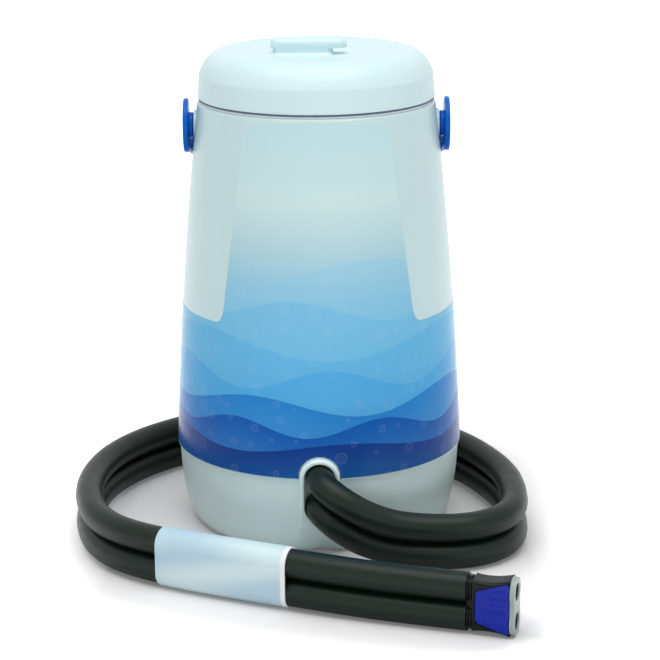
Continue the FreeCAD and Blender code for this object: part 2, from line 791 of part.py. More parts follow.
def liner_profile(foot_r, mouth_r, floor_z, top_z, round_r):
    """Edges from the axis out along a floor, round its corner and up a wall."""
    start = (foot_r - round_r, floor_z)
    end = (foot_r, floor_z + round_r)
    return [line((0, floor_z), start), corner(start, (foot_r - round_r, floor_z + round_r), end),
            line(end, (mouth_r, top_z))]


def liner():
    """Ice and water tank: a drafted cup hung by its rim, with two holes in its floor."""
    rim_z = bucket_top_z + liner_flange_thick
    under_z = liner_floor_z - liner_wall
    cup = turned(
        liner_profile(liner_foot_r, liner_mouth_r, liner_floor_z, rim_z, liner_corner)
        + [line((liner_mouth_r, rim_z), (liner_flange_r, rim_z)),
           line((liner_flange_r, rim_z), (liner_flange_r, bucket_top_z)),
           line((liner_flange_r, bucket_top_z), (liner_mouth_r + liner_wall, bucket_top_z))]
        + liner_profile(liner_foot_r + liner_wall, liner_mouth_r + liner_wall, under_z, bucket_top_z,
                        liner_corner + liner_wall)
        + [line((0, under_z), (0, liner_floor_z))])
    holes = [upright(suction_r + screw_fit, 0, pump_y, under_z - beyond, liner_floor_z + beyond),
             upright(return_stem_r + screw_fit, return_x, return_y, under_z - beyond, liner_floor_z + beyond)]
    return less(cup, holes)


def insulation():
    """Foam between the liner, the bucket and the deck."""
    foot_z = seam_z + deck_thick + deck_ledge_thick + slip
    boss_top = seam_z + deck_thick + deck_boss_height + slip
    top_z = bucket_top_z - bucket_flange - slip
    under_z = liner_floor_z - liner_wall - slip
    inset = bucket_wall + slip
    gap = liner_wall + slip
    foam = turned(
        [bucket_side(foot_z, top_z, inset),
         line((bucket_r(top_z, inset), top_z), (liner_mouth_r + gap, top_z)),
         line((0, under_z), (0, foot_z)), line((0, foot_z), (bucket_r(foot_z, inset), foot_z))]
        + liner_profile(liner_foot_r + gap, liner_mouth_r + gap, under_z, top_z, liner_corner + gap))
    holes = [outlet_clearance(2 * slip, deck_slot_y),
             upright(bulkhead_nut_r + slip, 0, pump_y, foot_z - beyond, under_z + beyond),
             upright(bulkhead_nut_r + slip, return_x, return_y, foot_z - beyond, under_z + beyond)]
    for side in (-1, 1):
        inner = V(side * (pivot_bore_end_x - bucket_wall - slip), 0, pivot_z)
        holes.append(rod(pivot_pad_r + slip, inner, V(side * pivot_pad_x, 0, pivot_z)))
    for x, y in on_ring(case_screw_ring_r, case_screw_angle, screw_count):
        holes.append(upright(deck_boss_r + slip, x, y, foot_z - beyond, boss_top))
    return less(foam, holes)


def rim_gasket():
    """Soft ring that the lid rests over."""
    foot_z = bucket_top_z + liner_flange_thick
    return turned(outline([(gasket_inner_r, foot_z), (gasket_outer_r, foot_z),
                           (gasket_outer_r, foot_z + gasket_thick), (gasket_inner_r, foot_z + gasket_thick)]))


def label_front():
    """Prism that cuts the wrap's front tongue: straight tapering sides and a gently arched top."""
    y = -bucket_foot_r - beyond
    foot_z = label_band_z - beyond
    corners = [V(-label_waist_half, y, foot_z), V(label_waist_half, y, foot_z),
               V(label_top_half, y, label_top_z), V(-label_top_half, y, label_top_z)]
    sides = [Part.LineSegment(corners[3], corners[0]).toShape(),
             Part.LineSegment(corners[0], corners[1]).toShape(),
             Part.LineSegment(corners[1], corners[2]).toShape(),
             Part.Arc(corners[2], V(0, y, label_top_z + label_top_rise), corners[3]).toShape()]
    prism = Part.Face(Part.Wire(sides)).extrude(V(0, -y, 0))
    long_edges = [e for e in prism.Edges if is_along(e, V(0, 1, 0)) and e.Vertexes[0].Z > label_top_z - beyond]
    return prism.makeFillet(label_corner, long_edges)


def label_root(side):
    """Concave corner piece where the tongue runs down into the band."""
    y = -bucket_foot_r - beyond
    square = block(0, label_corner, y, 0, label_band_z - beyond, label_band_z + label_corner)
    round_z = label_band_z + label_corner
    piece = square.cut(rod(label_corner, V(label_corner, y, round_z), V(label_corner, 0, round_z)))
    piece.translate(V(label_waist_half - beyond, 0, 0))
    return piece if side > 0 else mirrored_x(piece)


def label_wrap():
    """Printed film round the bucket's lower part, with a tongue up the front."""
    top_z = label_top_z + label_top_rise + beyond
    inner = -label_gap
    outer = inner - label_thick
    film = turned([
        bucket_side(label_foot_z, top_z, outer), bucket_side(label_foot_z, top_z, inner),
        line((bucket_r(label_foot_z, inner), label_foot_z), (bucket_r(label_foot_z, outer), label_foot_z)),
        line((bucket_r(top_z, inner), top_z), (bucket_r(top_z, outer), top_z))])
    wide = bucket_foot_r + beyond
    band = block(-wide, wide, -wide, wide, 0, label_band_z)
    shape = joined([band, label_front(), label_root(1), label_root(-1)])
    return film.common(shape).cut(outlet_clearance(slip, 0))


# --- bail -----------------------------------------------------------------------------------------------
def bail_arch(inset):
    """Closed face of the arch in its own plane, this far inside its outer face: X across, Z along."""
    half = bail_inner_x + bail_thick - inset
    crown = bail_reach - inset
    corner_r = bail_corner_r - inset
    shoulder = V(half - corner_r, 0, bail_arm)
    # The crown's arc touches both corner arcs and passes through (0, crown).
    crown_r = ((half - corner_r) ** 2 + (crown - bail_arm) ** 2 - corner_r ** 2) / (
        2 * (crown - bail_arm - corner_r))
    centre = V(0, 0, crown - crown_r)
    toward = (shoulder - centre).normalize()
    touch = centre + toward * crown_r
    left = V(-touch.x, 0, touch.z)
    bend = (V(half, 0, bail_arm) + touch) * 0.5 - shoulder
    middle = shoulder + bend.normalize() * corner_r
    edges = [Part.LineSegment(V(-half, 0, 0), V(half, 0, 0)).toShape(),
             Part.LineSegment(V(half, 0, 0), V(half, 0, bail_arm)).toShape(),
             Part.Arc(V(half, 0, bail_arm), middle, touch).toShape(),
             Part.Arc(touch, V(0, 0, crown), left).toShape(),
             Part.Arc(left, V(-middle.x, 0, middle.z), V(-half, 0, bail_arm)).toShape(),
             Part.LineSegment(V(-half, 0, bail_arm), V(-half, 0, 0)).toShape()]
    return Part.Face(Part.Wire(edges))


def bail_hang_angle():
    """Degrees past the horizontal at which the crown's lower inner edge meets the bucket's side."""
    inner = bail_reach - bail_thick
    low, high = 0.0, 60.0
    while high - low > 1e-4:
        angle = math.radians((low + high) / 2)
        out = inner * math.cos(angle) - bail_width / 2 * math.sin(angle)
        z = pivot_z - inner * math.sin(angle) - bail_width / 2 * math.cos(angle)
        if out > bucket_r(z) + bail_gap:
            low = math.degrees(angle)
        else:
            high = math.degrees(angle)
    return low


def bail_handle():
    """Strap bent to an arch, with round ears, spacing hubs and pivot pins, hanging at the back."""
    wide = V(0, bail_width, 0)
    strap = bail_arch(0).extrude(wide).cut(bail_arch(bail_thick).extrude(wide))
    strap.translate(wide * -0.5)
    solids = [strap]
    for side in (-1, 1):
        outer = V(side * (bail_inner_x + bail_thick), 0, 0)
        solids.append(rod(bail_ear_r, V(side * bail_inner_x, 0, 0), outer))
        solids.append(rod(bail_hub_r, V(side * (pivot_pad_x + slip), 0, 0), outer))
        solids.append(rod(pivot_pin_r, V(side * pivot_pin_end_x, 0, 0), outer))
    bail = joined(solids)
    # The arch is built upright, then swung back to where it hangs.
    bail.rotate(V(0, 0, 0), V(1, 0, 0), -90 - bail_hang_angle())
    bail.translate(V(0, 0, pivot_z))
    return bail


# --- lid -------------------------------------------------------------------------------------------------
def lid_foot_z():
    """Height of the lid's lower edge."""
    return bucket_top_z + liner_flange_thick + gasket_thick + lid_gap


def lid_outer(inset):
    """Edges of the lid's upper face from the lower edge to the axis, this far inside it."""
    across = lid_shoulder_r - lid_crown_r - inset
    up = lid_top_z - lid_shoulder_z - inset
    centre = V(lid_crown_r, 0, lid_shoulder_z)
    ellipse = (Part.Ellipse(centre + V(0, 0, up), centre + V(across, 0, 0), centre) if up > across
               else Part.Ellipse(centre + V(across, 0, 0), centre + V(0, 0, up), centre))
    side = (lid_crown_r + across, lid_shoulder_z)
    crown = (lid_crown_r, lid_top_z - inset)
    middle_angle = math.radians(45)
    middle = V(lid_crown_r + across * math.cos(middle_angle), 0, lid_shoulder_z + up * math.sin(middle_angle))
    parameters = sorted(ellipse.parameter(V(p[0], 0, p[1])) for p in (side, crown))
    if not parameters[0] < ellipse.parameter(middle) < parameters[1]:
        parameters = [parameters[1] - 2 * math.pi, parameters[0]]
    quarter = Part.ArcOfEllipse(ellipse, parameters[0], parameters[1]).toShape()
    floor_z = lid_top_z - dish_depth - inset
    rim = (dish_rim_r, lid_top_z - inset)
    low = (dish_floor_r, floor_z)
    sag = ((rim[0] + low[0]) / 2, (rim[1] + low[1]) / 2 - dish_sag)
    return [quarter, line(crown, rim), bow(rim, sag, low), line(low, (0, floor_z))]


def lid_cover():
    """Boxy cover with a skirt drawn in a little and a wide, shallow dish for the fingers."""
    foot_z = lid_foot_z()
    floor_z = lid_top_z - dish_depth
    shell = turned(
        lid_outer(0) + lid_outer(lid_wall)
        + [line((lid_r, foot_z), (lid_shoulder_r, lid_shoulder_z)), line((lid_r, foot_z), (lid_r - lid_wall, foot_z)),
           line((lid_r - lid_wall, foot_z), (lid_shoulder_r - lid_wall, lid_shoulder_z)),
           line((0, floor_z), (0, floor_z - lid_wall))])
    under_z = floor_z - lid_wall - beyond
    holes = [upright(screw_shank_r + screw_fit, x, 0, under_z, floor_z + beyond) for x in grip_screw_places()]
    return less(shell, holes)


def lid_pan():
    """Underside of the lid: a shallow plug that drops into the tank's mouth."""
    foot_z = lid_foot_z()
    low_z = foot_z - pan_depth
    top_z = foot_z + pan_wall
    return turned(
        liner_profile(pan_r, pan_r, low_z, foot_z, pan_corner)
        + [line((pan_r, foot_z), (pan_flange_r, foot_z)), line((pan_flange_r, foot_z), (pan_flange_r, top_z)),
           line((pan_flange_r, top_z), (pan_r - pan_wall, top_z))]
        + liner_profile(pan_r - pan_wall, pan_r - pan_wall, low_z + pan_wall, top_z, pan_corner)
        + [line((0, low_z), (0, low_z + pan_wall))])


def lid_foam():
    """Foam disc in the pan."""
    foot_z = lid_foot_z() - pan_depth + pan_wall + slip
    top_z = lid_top_z - dish_depth - lid_wall - screw_head_thick - slip
    radius = pan_r - pan_wall - slip - pan_corner
    return upright(radius, 0, 0, foot_z, top_z)


def grip_screw_places():
    """Places of the grip's two screws along X."""
    return [stem_x + side * grip_screw_pitch / 2 for side in (-1, 1)]


def lid_grip():
    """Bar across the dish on a narrower stem."""
    floor_z = lid_top_z - dish_depth
    bar_z = grip_top_z - grip_thick
    bar = slab_with_round_corners(grip_length, grip_width, bar_z, grip_top_z, grip_end_r)
    bar = bar.makeFillet(grip_edge_r, [e for e in bar.Edges if all(
        abs(v.Z - grip_top_z) < 1e-6 for v in e.Vertexes)])
    bar.translate(V(grip_x, 0, 0))
    stem = slab_with_round_corners(stem_length, stem_width, floor_z, bar_z + beyond, stem_end_r)
    stem.translate(V(stem_x, 0, 0))
    holes = [upright(screw_shank_r + running, x, 0, floor_z - beyond, floor_z + grip_screw_depth)
             for x in grip_screw_places()]
    return less(joined([bar, stem]), holes)


def grip_screws():
    """Screws from inside the lid up into the grip."""
    head_z = lid_top_z - dish_depth - lid_wall - screw_head_thick
    tip_z = lid_top_z - dish_depth + grip_screw_depth - screw_tip_gap
    return Part.makeCompound([screw(x, 0, head_z, tip_z) for x in grip_screw_places()])


# --- pump -------------------------------------------------------------------------------------------------
def pump_case_z():
    """Height where the pump's case starts, above its back plate."""
    return pump_floor_z + pump_back_thick


def pump_outlet_place():
    """(x, z) of the outlet, along the case's tangent."""
    return pump_r - pump_case_wall / 2 - pump_outlet_r, pump_case_z() + pump_case_height / 2


def pump_case():
    """Volute case with the inlet on top and a tangential outlet."""
    foot_z = pump_case_z()
    top_z = foot_z + pump_case_height
    x, z = pump_outlet_place()
    end_y = pump_y - pump_r - pump_outlet_length / 2
    solids = [upright(pump_r, 0, pump_y, foot_z, top_z),
              upright(pump_inlet_r, 0, pump_y, foot_z + beyond, top_z + pump_inlet_height),
              rod(pump_outlet_r, V(x, pump_y, z), V(x, end_y, z)),
              rod(barb_r, V(x, end_y + beyond, z), V(x, end_y - barb_length, z))]
    inside_r = pump_r - pump_case_wall
    holes = [upright(inside_r, 0, pump_y, foot_z - beyond, top_z - pump_case_wall),
             upright(suction_r + screw_fit, 0, pump_y, top_z, top_z + pump_inlet_height + beyond),
             upright(suction_bore_r, 0, pump_y, foot_z, top_z + beyond),
             rod(passage_r, V(x, pump_y, z), V(x, end_y - barb_length - beyond, z))]
    return less(joined(solids), holes)


def pump_back():
    """Plate between the pump and its motor, with the shaft's hole."""
    plate = upright(pump_r, 0, pump_y, pump_floor_z, pump_case_z())
    return plate.cut(upright(shaft_r + running, 0, pump_y, pump_floor_z - beyond, pump_case_z() + beyond))


def impeller_vane():
    """Curved vane, an arc from hub to rim, swept back by vane_sweep degrees."""
    foot_z = pump_case_z() + impeller_gap + impeller_disc - bite
    root_r = impeller_hub_r - impeller_gap
    places = []
    for share in (0.0, 0.5, 1.0):
        angle = math.radians(vane_sweep * share ** 1.3)
        places.append((root_r + (impeller_r - root_r) * share, angle))
    sides = []
    for offset in (0.0, vane_thick):
        sides.append([V(r * math.cos(a + offset / r), r * math.sin(a + offset / r), foot_z) for r, a in places])
    inner, outer = sides
    edges = [Part.Arc(*inner).toShape(), Part.LineSegment(inner[2], outer[2]).toShape(),
             Part.Arc(*outer).toShape(), Part.LineSegment(outer[0], inner[0]).toShape()]
    return Part.Face(Part.Wire(Part.__sortEdges__(edges))).extrude(V(0, 0, vane_height + bite))


def impeller():
    """Open impeller: disc, hub and swept-back vanes."""
    foot_z = pump_case_z() + impeller_gap
    top_z = foot_z + impeller_disc + vane_height
    solids = [upright(impeller_r, 0, 0, foot_z, foot_z + impeller_disc),
              upright(impeller_hub_r, 0, 0, foot_z, top_z)]
    for k in range(impeller_vanes):
        vane = impeller_vane()
        vane.rotate(V(0, 0, 0), UP, 360.0 * k / impeller_vanes)
        solids.append(vane)
    wheel = joined(solids).cut(upright(shaft_r, 0, 0, foot_z - beyond, top_z - impeller_gap))
    wheel = wheel.common(upright(impeller_r, 0, 0, foot_z - beyond, top_z + beyond))
    wheel.translate(V(0, pump_y, 0))
    return wheel


def motor_shaft():
    """Steel shaft from the motor into the impeller."""
    end_z = pump_case_z() + impeller_disc + vane_height
    return upright(shaft_r, 0, pump_y, shaft_foot_z, end_z)


def pump_motor():
    """Motor can with its end boss."""
    can = upright(motor_r, 0, pump_y, motor_foot_z, pump_floor_z)
    edges = [e for e in can.Edges if isinstance(e.Curve, Part.Circle) and e.Vertexes[0].Z < motor_foot_z + beyond]
    can = can.makeFillet(motor_edge_r, edges)
    return can.cut(upright(shaft_r + running, 0, pump_y, shaft_foot_z - beyond, pump_floor_z + beyond))


# --- water path ---------------------------------------------------------------------------------------------
def bulkhead(x, y, stem_r, bore_r, foot_z, top_z):
    """Through fitting: flange on the tank's floor, stem down through it and a nut under it."""
    flange_top = liner_floor_z + bulkhead_flange_thick
    under_z = liner_floor_z - liner_wall
    solids = [upright(bulkhead_flange_r, x, y, liner_floor_z, flange_top), upright(stem_r, x, y, foot_z, top_z),
              upright(bulkhead_nut_r, x, y, under_z - bulkhead_nut_thick, under_z)]
    return joined(solids).cut(upright(bore_r, x, y, foot_z - beyond, top_z + beyond))


def suction_fitting():
    """Tank outlet straight down into the pump's inlet."""
    foot_z = pump_case_z() + pump_case_height
    return bulkhead(0, pump_y, suction_r, suction_bore_r, foot_z, liner_floor_z + bulkhead_flange_thick)


def return_barb_z():
    """Height where the return fitting's stem ends and its barb begins."""
    return liner_floor_z - liner_wall - bulkhead_nut_thick - return_stem_gap


def return_fitting():
    """Return inlet in the tank's floor, with a short spout and a barb below."""
    spout_z = liner_floor_z + bulkhead_flange_thick + return_spout_height
    stem = bulkhead(return_x, return_y, return_stem_r, passage_r, return_barb_z(), spout_z)
    barb = upright(barb_r, return_x, return_y, return_barb_z() - barb_length, return_barb_z() + beyond)
    bore = upright(passage_r, return_x, return_y, return_barb_z() - barb_length - beyond, spout_z + beyond)
    return joined([stem, barb]).cut(bore)


def strainer():
    """Slotted cap over the tank's outlet."""
    foot_z = liner_floor_z
    top_z = foot_z + strainer_height
    cap = upright(strainer_r, 0, 0, foot_z, top_z)
    rim = [e for e in cap.Edges if isinstance(e.Curve, Part.Circle) and e.Vertexes[0].Z > foot_z + beyond]
    cap = cap.makeFillet(strainer_round, rim)
    holes = [upright(strainer_r - strainer_wall, 0, 0, foot_z - beyond, top_z - strainer_wall)]
    for k in range(strainer_slots):
        slot = block(strainer_r / 2, strainer_r + beyond, -strainer_slot_width / 2, strainer_slot_width / 2,
                     foot_z + strainer_wall, top_z - strainer_round)
        slot.rotate(V(0, 0, 0), UP, 360.0 * k / strainer_slots)
        holes.append(slot)
    cap = less(cap, holes)
    cap.translate(V(0, pump_y, 0))
    return cap


def outlet_fitting(z):
    """Fitting in the outlet's end wall: collar that the hose butts on, stem, nut and inner barb."""
    wall_front = outlet_back_y - outlet_end_wall
    nut_end = outlet_back_y + fitting_nut_thick
    solids = [rod(collar_r, V(0, collar_y, z), V(0, wall_front, z)),
              rod(fitting_stem_r, V(0, collar_y, z), V(0, nut_end, z)),
              rod(fitting_nut_r, V(0, outlet_back_y, z), V(0, nut_end, z)),
              rod(barb_r, V(0, nut_end - beyond, z), V(0, nut_end + barb_length, z))]
    bore = rod(passage_r, V(0, collar_y - beyond, z), V(0, nut_end + barb_length + beyond, z))
    return joined(solids).cut(bore)


def supply_fitting():
    """Upper fitting, from the pump."""
    return outlet_fitting(outlet_high_z)


def drain_fitting():
    """Lower fitting, back to the tank."""
    return outlet_fitting(outlet_low_z)


def supply_tube():
    """Soft tube from the pump's outlet to the upper fitting."""
    x, z = pump_outlet_place()
    start_y = pump_y - pump_r - pump_outlet_length / 2 - slip
    end_y = outlet_back_y + fitting_nut_thick + slip
    return soft_tube([(x, start_y, z), (x, start_y - supply_run_out, z),
                      (0, end_y + supply_run_in, outlet_high_z), (0, end_y, outlet_high_z)])


def return_tube():
    """Soft tube from the lower fitting to the tank's return."""
    start_y = outlet_back_y + fitting_nut_thick + slip
    top_z = return_barb_z() - slip
    return soft_tube([(0, start_y, outlet_low_z), (0, start_y + return_run, outlet_low_z),
                      (return_x, return_y, outlet_low_z), (return_x, return_y, top_z)])


# --- power inlet ----------------------------------------------------------------------------------------------
def power_inlet():
    """Round DC socket with its centre pin."""
    inner_r = inlet_face_r - inlet_body_length
    outer_r = inlet_face_r + inlet_flange_thick
    solids = [rod(inlet_flange_r, inlet_place(inlet_face_r), inlet_place(outer_r)),
              rod(inlet_body_r, inlet_place(inner_r), inlet_place(outer_r))]
    bore = rod(inlet_bore_r, inlet_place(outer_r - inlet_bore_depth), inlet_place(outer_r + beyond))
    body = joined(solids).cut(bore)
    pin = rod(inlet_pin_r, inlet_place(outer_r - inlet_bore_depth - bite), inlet_place(outer_r - inlet_pin_short))
    return joined([body, pin])


def inlet_nut():
    """Nut that holds the socket from inside."""
    inner_r = inlet_boss_inner_r - inlet_nut_thick
    nut = rod(inlet_nut_r, inlet_place(inner_r), inlet_place(inlet_boss_inner_r))
    hole = rod(inlet_body_r + running, inlet_place(inner_r - beyond), inlet_place(inlet_boss_inner_r + beyond))
    return nut.cut(hole)


def motor_leads():
    """Two wires from the socket to the motor's side."""
    start = inlet_place(inlet_face_r - inlet_body_length)
    wires = []
    for dz in (-wire_spacing / 2, wire_spacing / 2):
        away = inlet_place(inlet_face_r - inlet_body_length - wire_run, dz)
        bend_x, bend_y, bend_z = wire_bend
        points = [(start.x, start.y, inlet_z + dz), tuple(away), (bend_x, bend_y, bend_z + dz),
                  (wire_sink - motor_r, pump_y + wire_end_y, wire_end_z + dz)]
        wires.append(swept(points, wire_r).cut(upright(motor_r, 0, pump_y, motor_foot_z, pump_floor_z)))
    return Part.makeCompound(wires)


# --- hoses ------------------------------------------------------------------------------------------------------
def hose_high():
    """Hose from the upper fitting, lying on the other one."""
    return swept(HIGH_ROUTE, hose_r)


def hose_low():
    """Hose from the lower fitting, lying on the floor."""
    return swept(LOW_ROUTE, hose_r)


def obround_bar(points, radius):
    """Bar along a route whose section is two half circles one hose spacing apart, joined."""
    path, _ = rounded_route(points)
    first = (V(*points[1]) - V(*points[0])).normalize()
    side = UP.cross(first).normalize()
    centre = V(*points[0])
    half = UP * (hose_spacing / 2)
    across = side * radius
    edges = [Part.LineSegment(centre - half + across, centre + half + across).toShape(),
             Part.Arc(centre + half + across, centre + half + UP * radius, centre + half - across).toShape(),
             Part.LineSegment(centre + half - across, centre - half - across).toShape(),
             Part.Arc(centre - half - across, centre - half - UP * radius, centre - half + across).toShape()]
    return path.makePipeShell([Part.Wire(edges)], True, False)


def hose_sleeve():
    """Soft sleeve round both hoses, as long as their straight stretch."""
    around = spread_out([ROUND_THE_MACHINE[-1]] + SLEEVED + [TO_THE_COUPLING[0]])
    middle_z = (low_z + high_z) / 2
    lifts = [0, sleeve_lift, sleeve_lift, 0]
    points = [(x, y, middle_z + dz) for (x, y), dz in zip(around, lifts)]
    inner_r = hose_r + sleeve_fit
    ring = obround_bar(points, inner_r + sleeve_wall).cut(obround_bar(points, inner_r))
    start, end = V(*points[1]), V(*points[2])
    along = (end - start).normalize()
    middle = (start + end) * 0.5
    slab = block(-sleeve_length / 2, sleeve_length / 2, -middle_z, middle_z, -beyond, 3 * middle_z)
    slab.rotate(V(0, 0, 0), UP, math.degrees(math.atan2(along.y, along.x)))
    slab.translate(V(middle.x, middle.y, 0))
    return ring.common(slab)


# --- twin coupling --------------------------------------------------------------------------------------------
def coupling_heading():
    """Angle of the hoses' last run, in degrees from +X."""
    (x0, y0), (x1, y1) = spread_out(TO_THE_COUPLING)
    return math.degrees(math.atan2(y1 - y0, x1 - x0))


def placed(shape):
    """A coupling piece, built along +X from the hoses' ends at mid height, in its place."""
    shape.rotate(V(0, 0, 0), UP, coupling_heading())
    x, y = spread_out(TO_THE_COUPLING)[-1]
    shape.translate(V(x, y, (low_z + high_z) / 2))
    return shape


PORTS = (-hose_spacing / 2, hose_spacing / 2)


def along(radius, x0, x1, z):
    """Cylinder along the coupling's axis."""
    return rod(radius, V(x0, 0, z), V(x1, 0, z))


def waisted_face(start_half, end_half, waist_half, x0, x1, waist_x, y):
    """Side outline that narrows to a waist and flares to its end."""
    edges = [Part.LineSegment(V(x0, y, start_half), V(x0, y, -start_half)).toShape(),
             Part.Arc(V(x0, y, -start_half), V(waist_x, y, -waist_half), V(x1, y, -end_half)).toShape(),
             Part.LineSegment(V(x1, y, -end_half), V(x1, y, end_half)).toShape(),
             Part.Arc(V(x1, y, end_half), V(waist_x, y, waist_half), V(x0, y, start_half)).toShape()]
    return Part.Face(Part.Wire(edges))


def trapezoid(x0, x1, half0, half1, y0, y1, corner_r):
    """Plate whose outline widens from x0 to x1, with rounded corners at its narrow end."""
    face = Part.Face(Part.makePolygon([V(x0, y0, -half0), V(x1, y0, -half1), V(x1, y0, half1),
                                       V(x0, y0, half0), V(x0, y0, -half0)]))
    plate = face.extrude(V(0, y1 - y0, 0))
    near = [e for e in plate.Edges if is_along(e, V(0, 1, 0)) and abs(e.Vertexes[0].X - x0) < 1e-6]
    return plate.makeFillet(corner_r, near)


def pad_rest_y():
    """Inner face of a release pad at rest."""
    return coupling_half_thick + pad_proud - pad_thick


def hose_necks():
    """Ribbed necks that the two hoses are pushed up to, joined by a web."""
    solids = [block(0, neck_length, -neck_web_half, neck_web_half, PORTS[0], PORTS[1])]
    holes = []
    for z in PORTS:
        solids.append(along(neck_r, 0, neck_length, z))
        solids += [along(neck_rib_r, x, x + neck_rib_thick, z) for x in neck_rib_at]
        holes.append(along(hose_passage_r, -beyond, neck_length + beyond, z))
    return placed(less(joined(solids), holes))


def coupling_body():
    """Black body with two valve chambers, recesses for the release pads and wells for their stems."""
    face = waisted_face(coupling_start_half, coupling_end_half, coupling_waist_half,
                        neck_length, coupling_end, coupling_waist_at, -coupling_half_thick)
    body = face.extrude(V(0, 2 * coupling_half_thick, 0))
    rims = [e for e in body.Edges if all(abs(abs(v.Y) - coupling_half_thick) < 1e-6 for v in e.Vertexes)
            and abs(e.Vertexes[0].Y - e.Vertexes[-1].Y) < 1e-6
            and max(v.X for v in e.Vertexes) > neck_length + beyond and not is_along(e, UP)]
    body = body.makeFillet(coupling_edge_r, rims)
    socket_x = coupling_end + flange_thick - port_depth
    holes = []
    for z in PORTS:
        holes.append(along(port_r, socket_x, coupling_end + beyond, z))
        holes.append(along(seat_r, socket_x - seat_thick - beyond, socket_x + beyond, z))
        holes.append(along(chamber_r, chamber_start, socket_x - seat_thick, z))
        holes.append(along(hose_passage_r, neck_length - beyond, chamber_start + beyond, z))
    for side in (-1, 1):
        floor_y = side * (pad_rest_y() - pad_travel - running)
        out_y = side * (coupling_half_thick + beyond)
        holes.append(trapezoid(pad_start - recess_side, coupling_end + beyond, pad_start_half + recess_side,
                               pad_end_half + recess_side, floor_y, out_y, pad_corner))
        well_y = side * (pad_rest_y() - pad_stem_depth - pad_travel - slip)
        low_y, high_y = sorted((well_y, out_y))
        holes.append(block(pad_stem_start - slip, pad_stem_end + slip, low_y, high_y,
                           -pad_stem_half - slip, pad_stem_half + slip))
    return placed(less(body, holes))


def coupling_flange():
    """Grey end plate that swells round each of the two ports."""
    x0, x1 = coupling_end, coupling_end + flange_thick
    solids = [block(x0, x1, -flange_waist_half, flange_waist_half, PORTS[0], PORTS[1])]
    plate = joined(solids + [along(flange_r, x0, x1, z) for z in PORTS])
    hollows = [e for e in plate.Edges
               if is_along(e, V(1, 0, 0)) and abs(abs(e.Vertexes[0].Y) - flange_waist_half) < 1e-6]
    plate = plate.makeFillet(flange_waist_r, hollows)
    holes = []
    for z in PORTS:
        holes.append(along(port_r, x0 - beyond, x1 + beyond, z))
        holes.append(along(seal_outer_r + running, seal_at - seal_width / 2, seal_at + seal_width / 2, z))
    return placed(less(plate, holes))


def port_seals():
    """Square-section sealing rings in the ports."""
    rings = []
    for z in PORTS:
        x0, x1 = seal_at - seal_width / 2, seal_at + seal_width / 2
        rings.append(along(seal_outer_r, x0, x1, z).cut(along(port_r, x0 - beyond, x1 + beyond, z)))
    return placed(Part.makeCompound(rings))


def valve_poppet(z):
    """Valve that the mating nipple pushes in: nose, head and stem."""
    seat_x = coupling_end + flange_thick - port_depth
    head_x = seat_x - seat_thick - screw_fit
    back_x = head_x - poppet_head_thick
    solids = [along(poppet_nose_r, head_x - bite, seat_x - poppet_nose_short, z),
              along(poppet_head_r, back_x, head_x, z),
              along(poppet_stem_r, back_x - poppet_stem_length, back_x + bite, z)]
    return placed(joined(solids))


def valve_spring(z):
    """Closing spring round the stem, drawn at its compressed length as a stack of flat turns."""
    head_x = coupling_end + flange_thick - port_depth - seat_thick - screw_fit - poppet_head_thick
    length = spring_turns * spring_pitch
    solids = [along(spring_r, head_x - length, head_x, z)]
    holes = [along(spring_r - spring_wire, head_x - length - beyond, head_x + beyond, z)]
    for k in range(spring_turns):
        gap_x = head_x - k * spring_pitch - spring_pitch + spring_wire / 2
        groove = along(spring_r + beyond, gap_x - spring_groove / 2, gap_x + spring_groove / 2, z)
        holes.append(groove.cut(along(spring_r - spring_wire / 2, gap_x - beyond, gap_x + beyond, z)))
    return placed(less(joined(solids), holes))


def release_pad(side):
    """Blue pad with finger ridges and a guide stem; side is -1 at the front and 1 at the back."""
    inner_y = side * pad_rest_y()
    outer_y = side * (coupling_half_thick + pad_proud)
    plate = trapezoid(pad_start, pad_end, pad_start_half, pad_end_half, inner_y, outer_y, pad_corner)
    solids = [plate]
    reach = pad_ridge_r - pad_ridge
    for z in pad_ridge_at:
        y = outer_y - side * reach
        ridge = rod(pad_ridge_r, V(pad_ridge_start, y, z), V(pad_ridge_end, y, z))
        low_y, high_y = sorted((outer_y - side * bite, outer_y + side * pad_ridge_r))
        solids.append(ridge.common(block(pad_ridge_start, pad_ridge_end, low_y, high_y,
                                         z - pad_ridge_r, z + pad_ridge_r)))
    low_y, high_y = sorted((inner_y - side * pad_stem_depth, inner_y + side * bite))
    solids.append(block(pad_stem_start, pad_stem_end, low_y, high_y, -pad_stem_half, pad_stem_half))
    return placed(joined(solids))


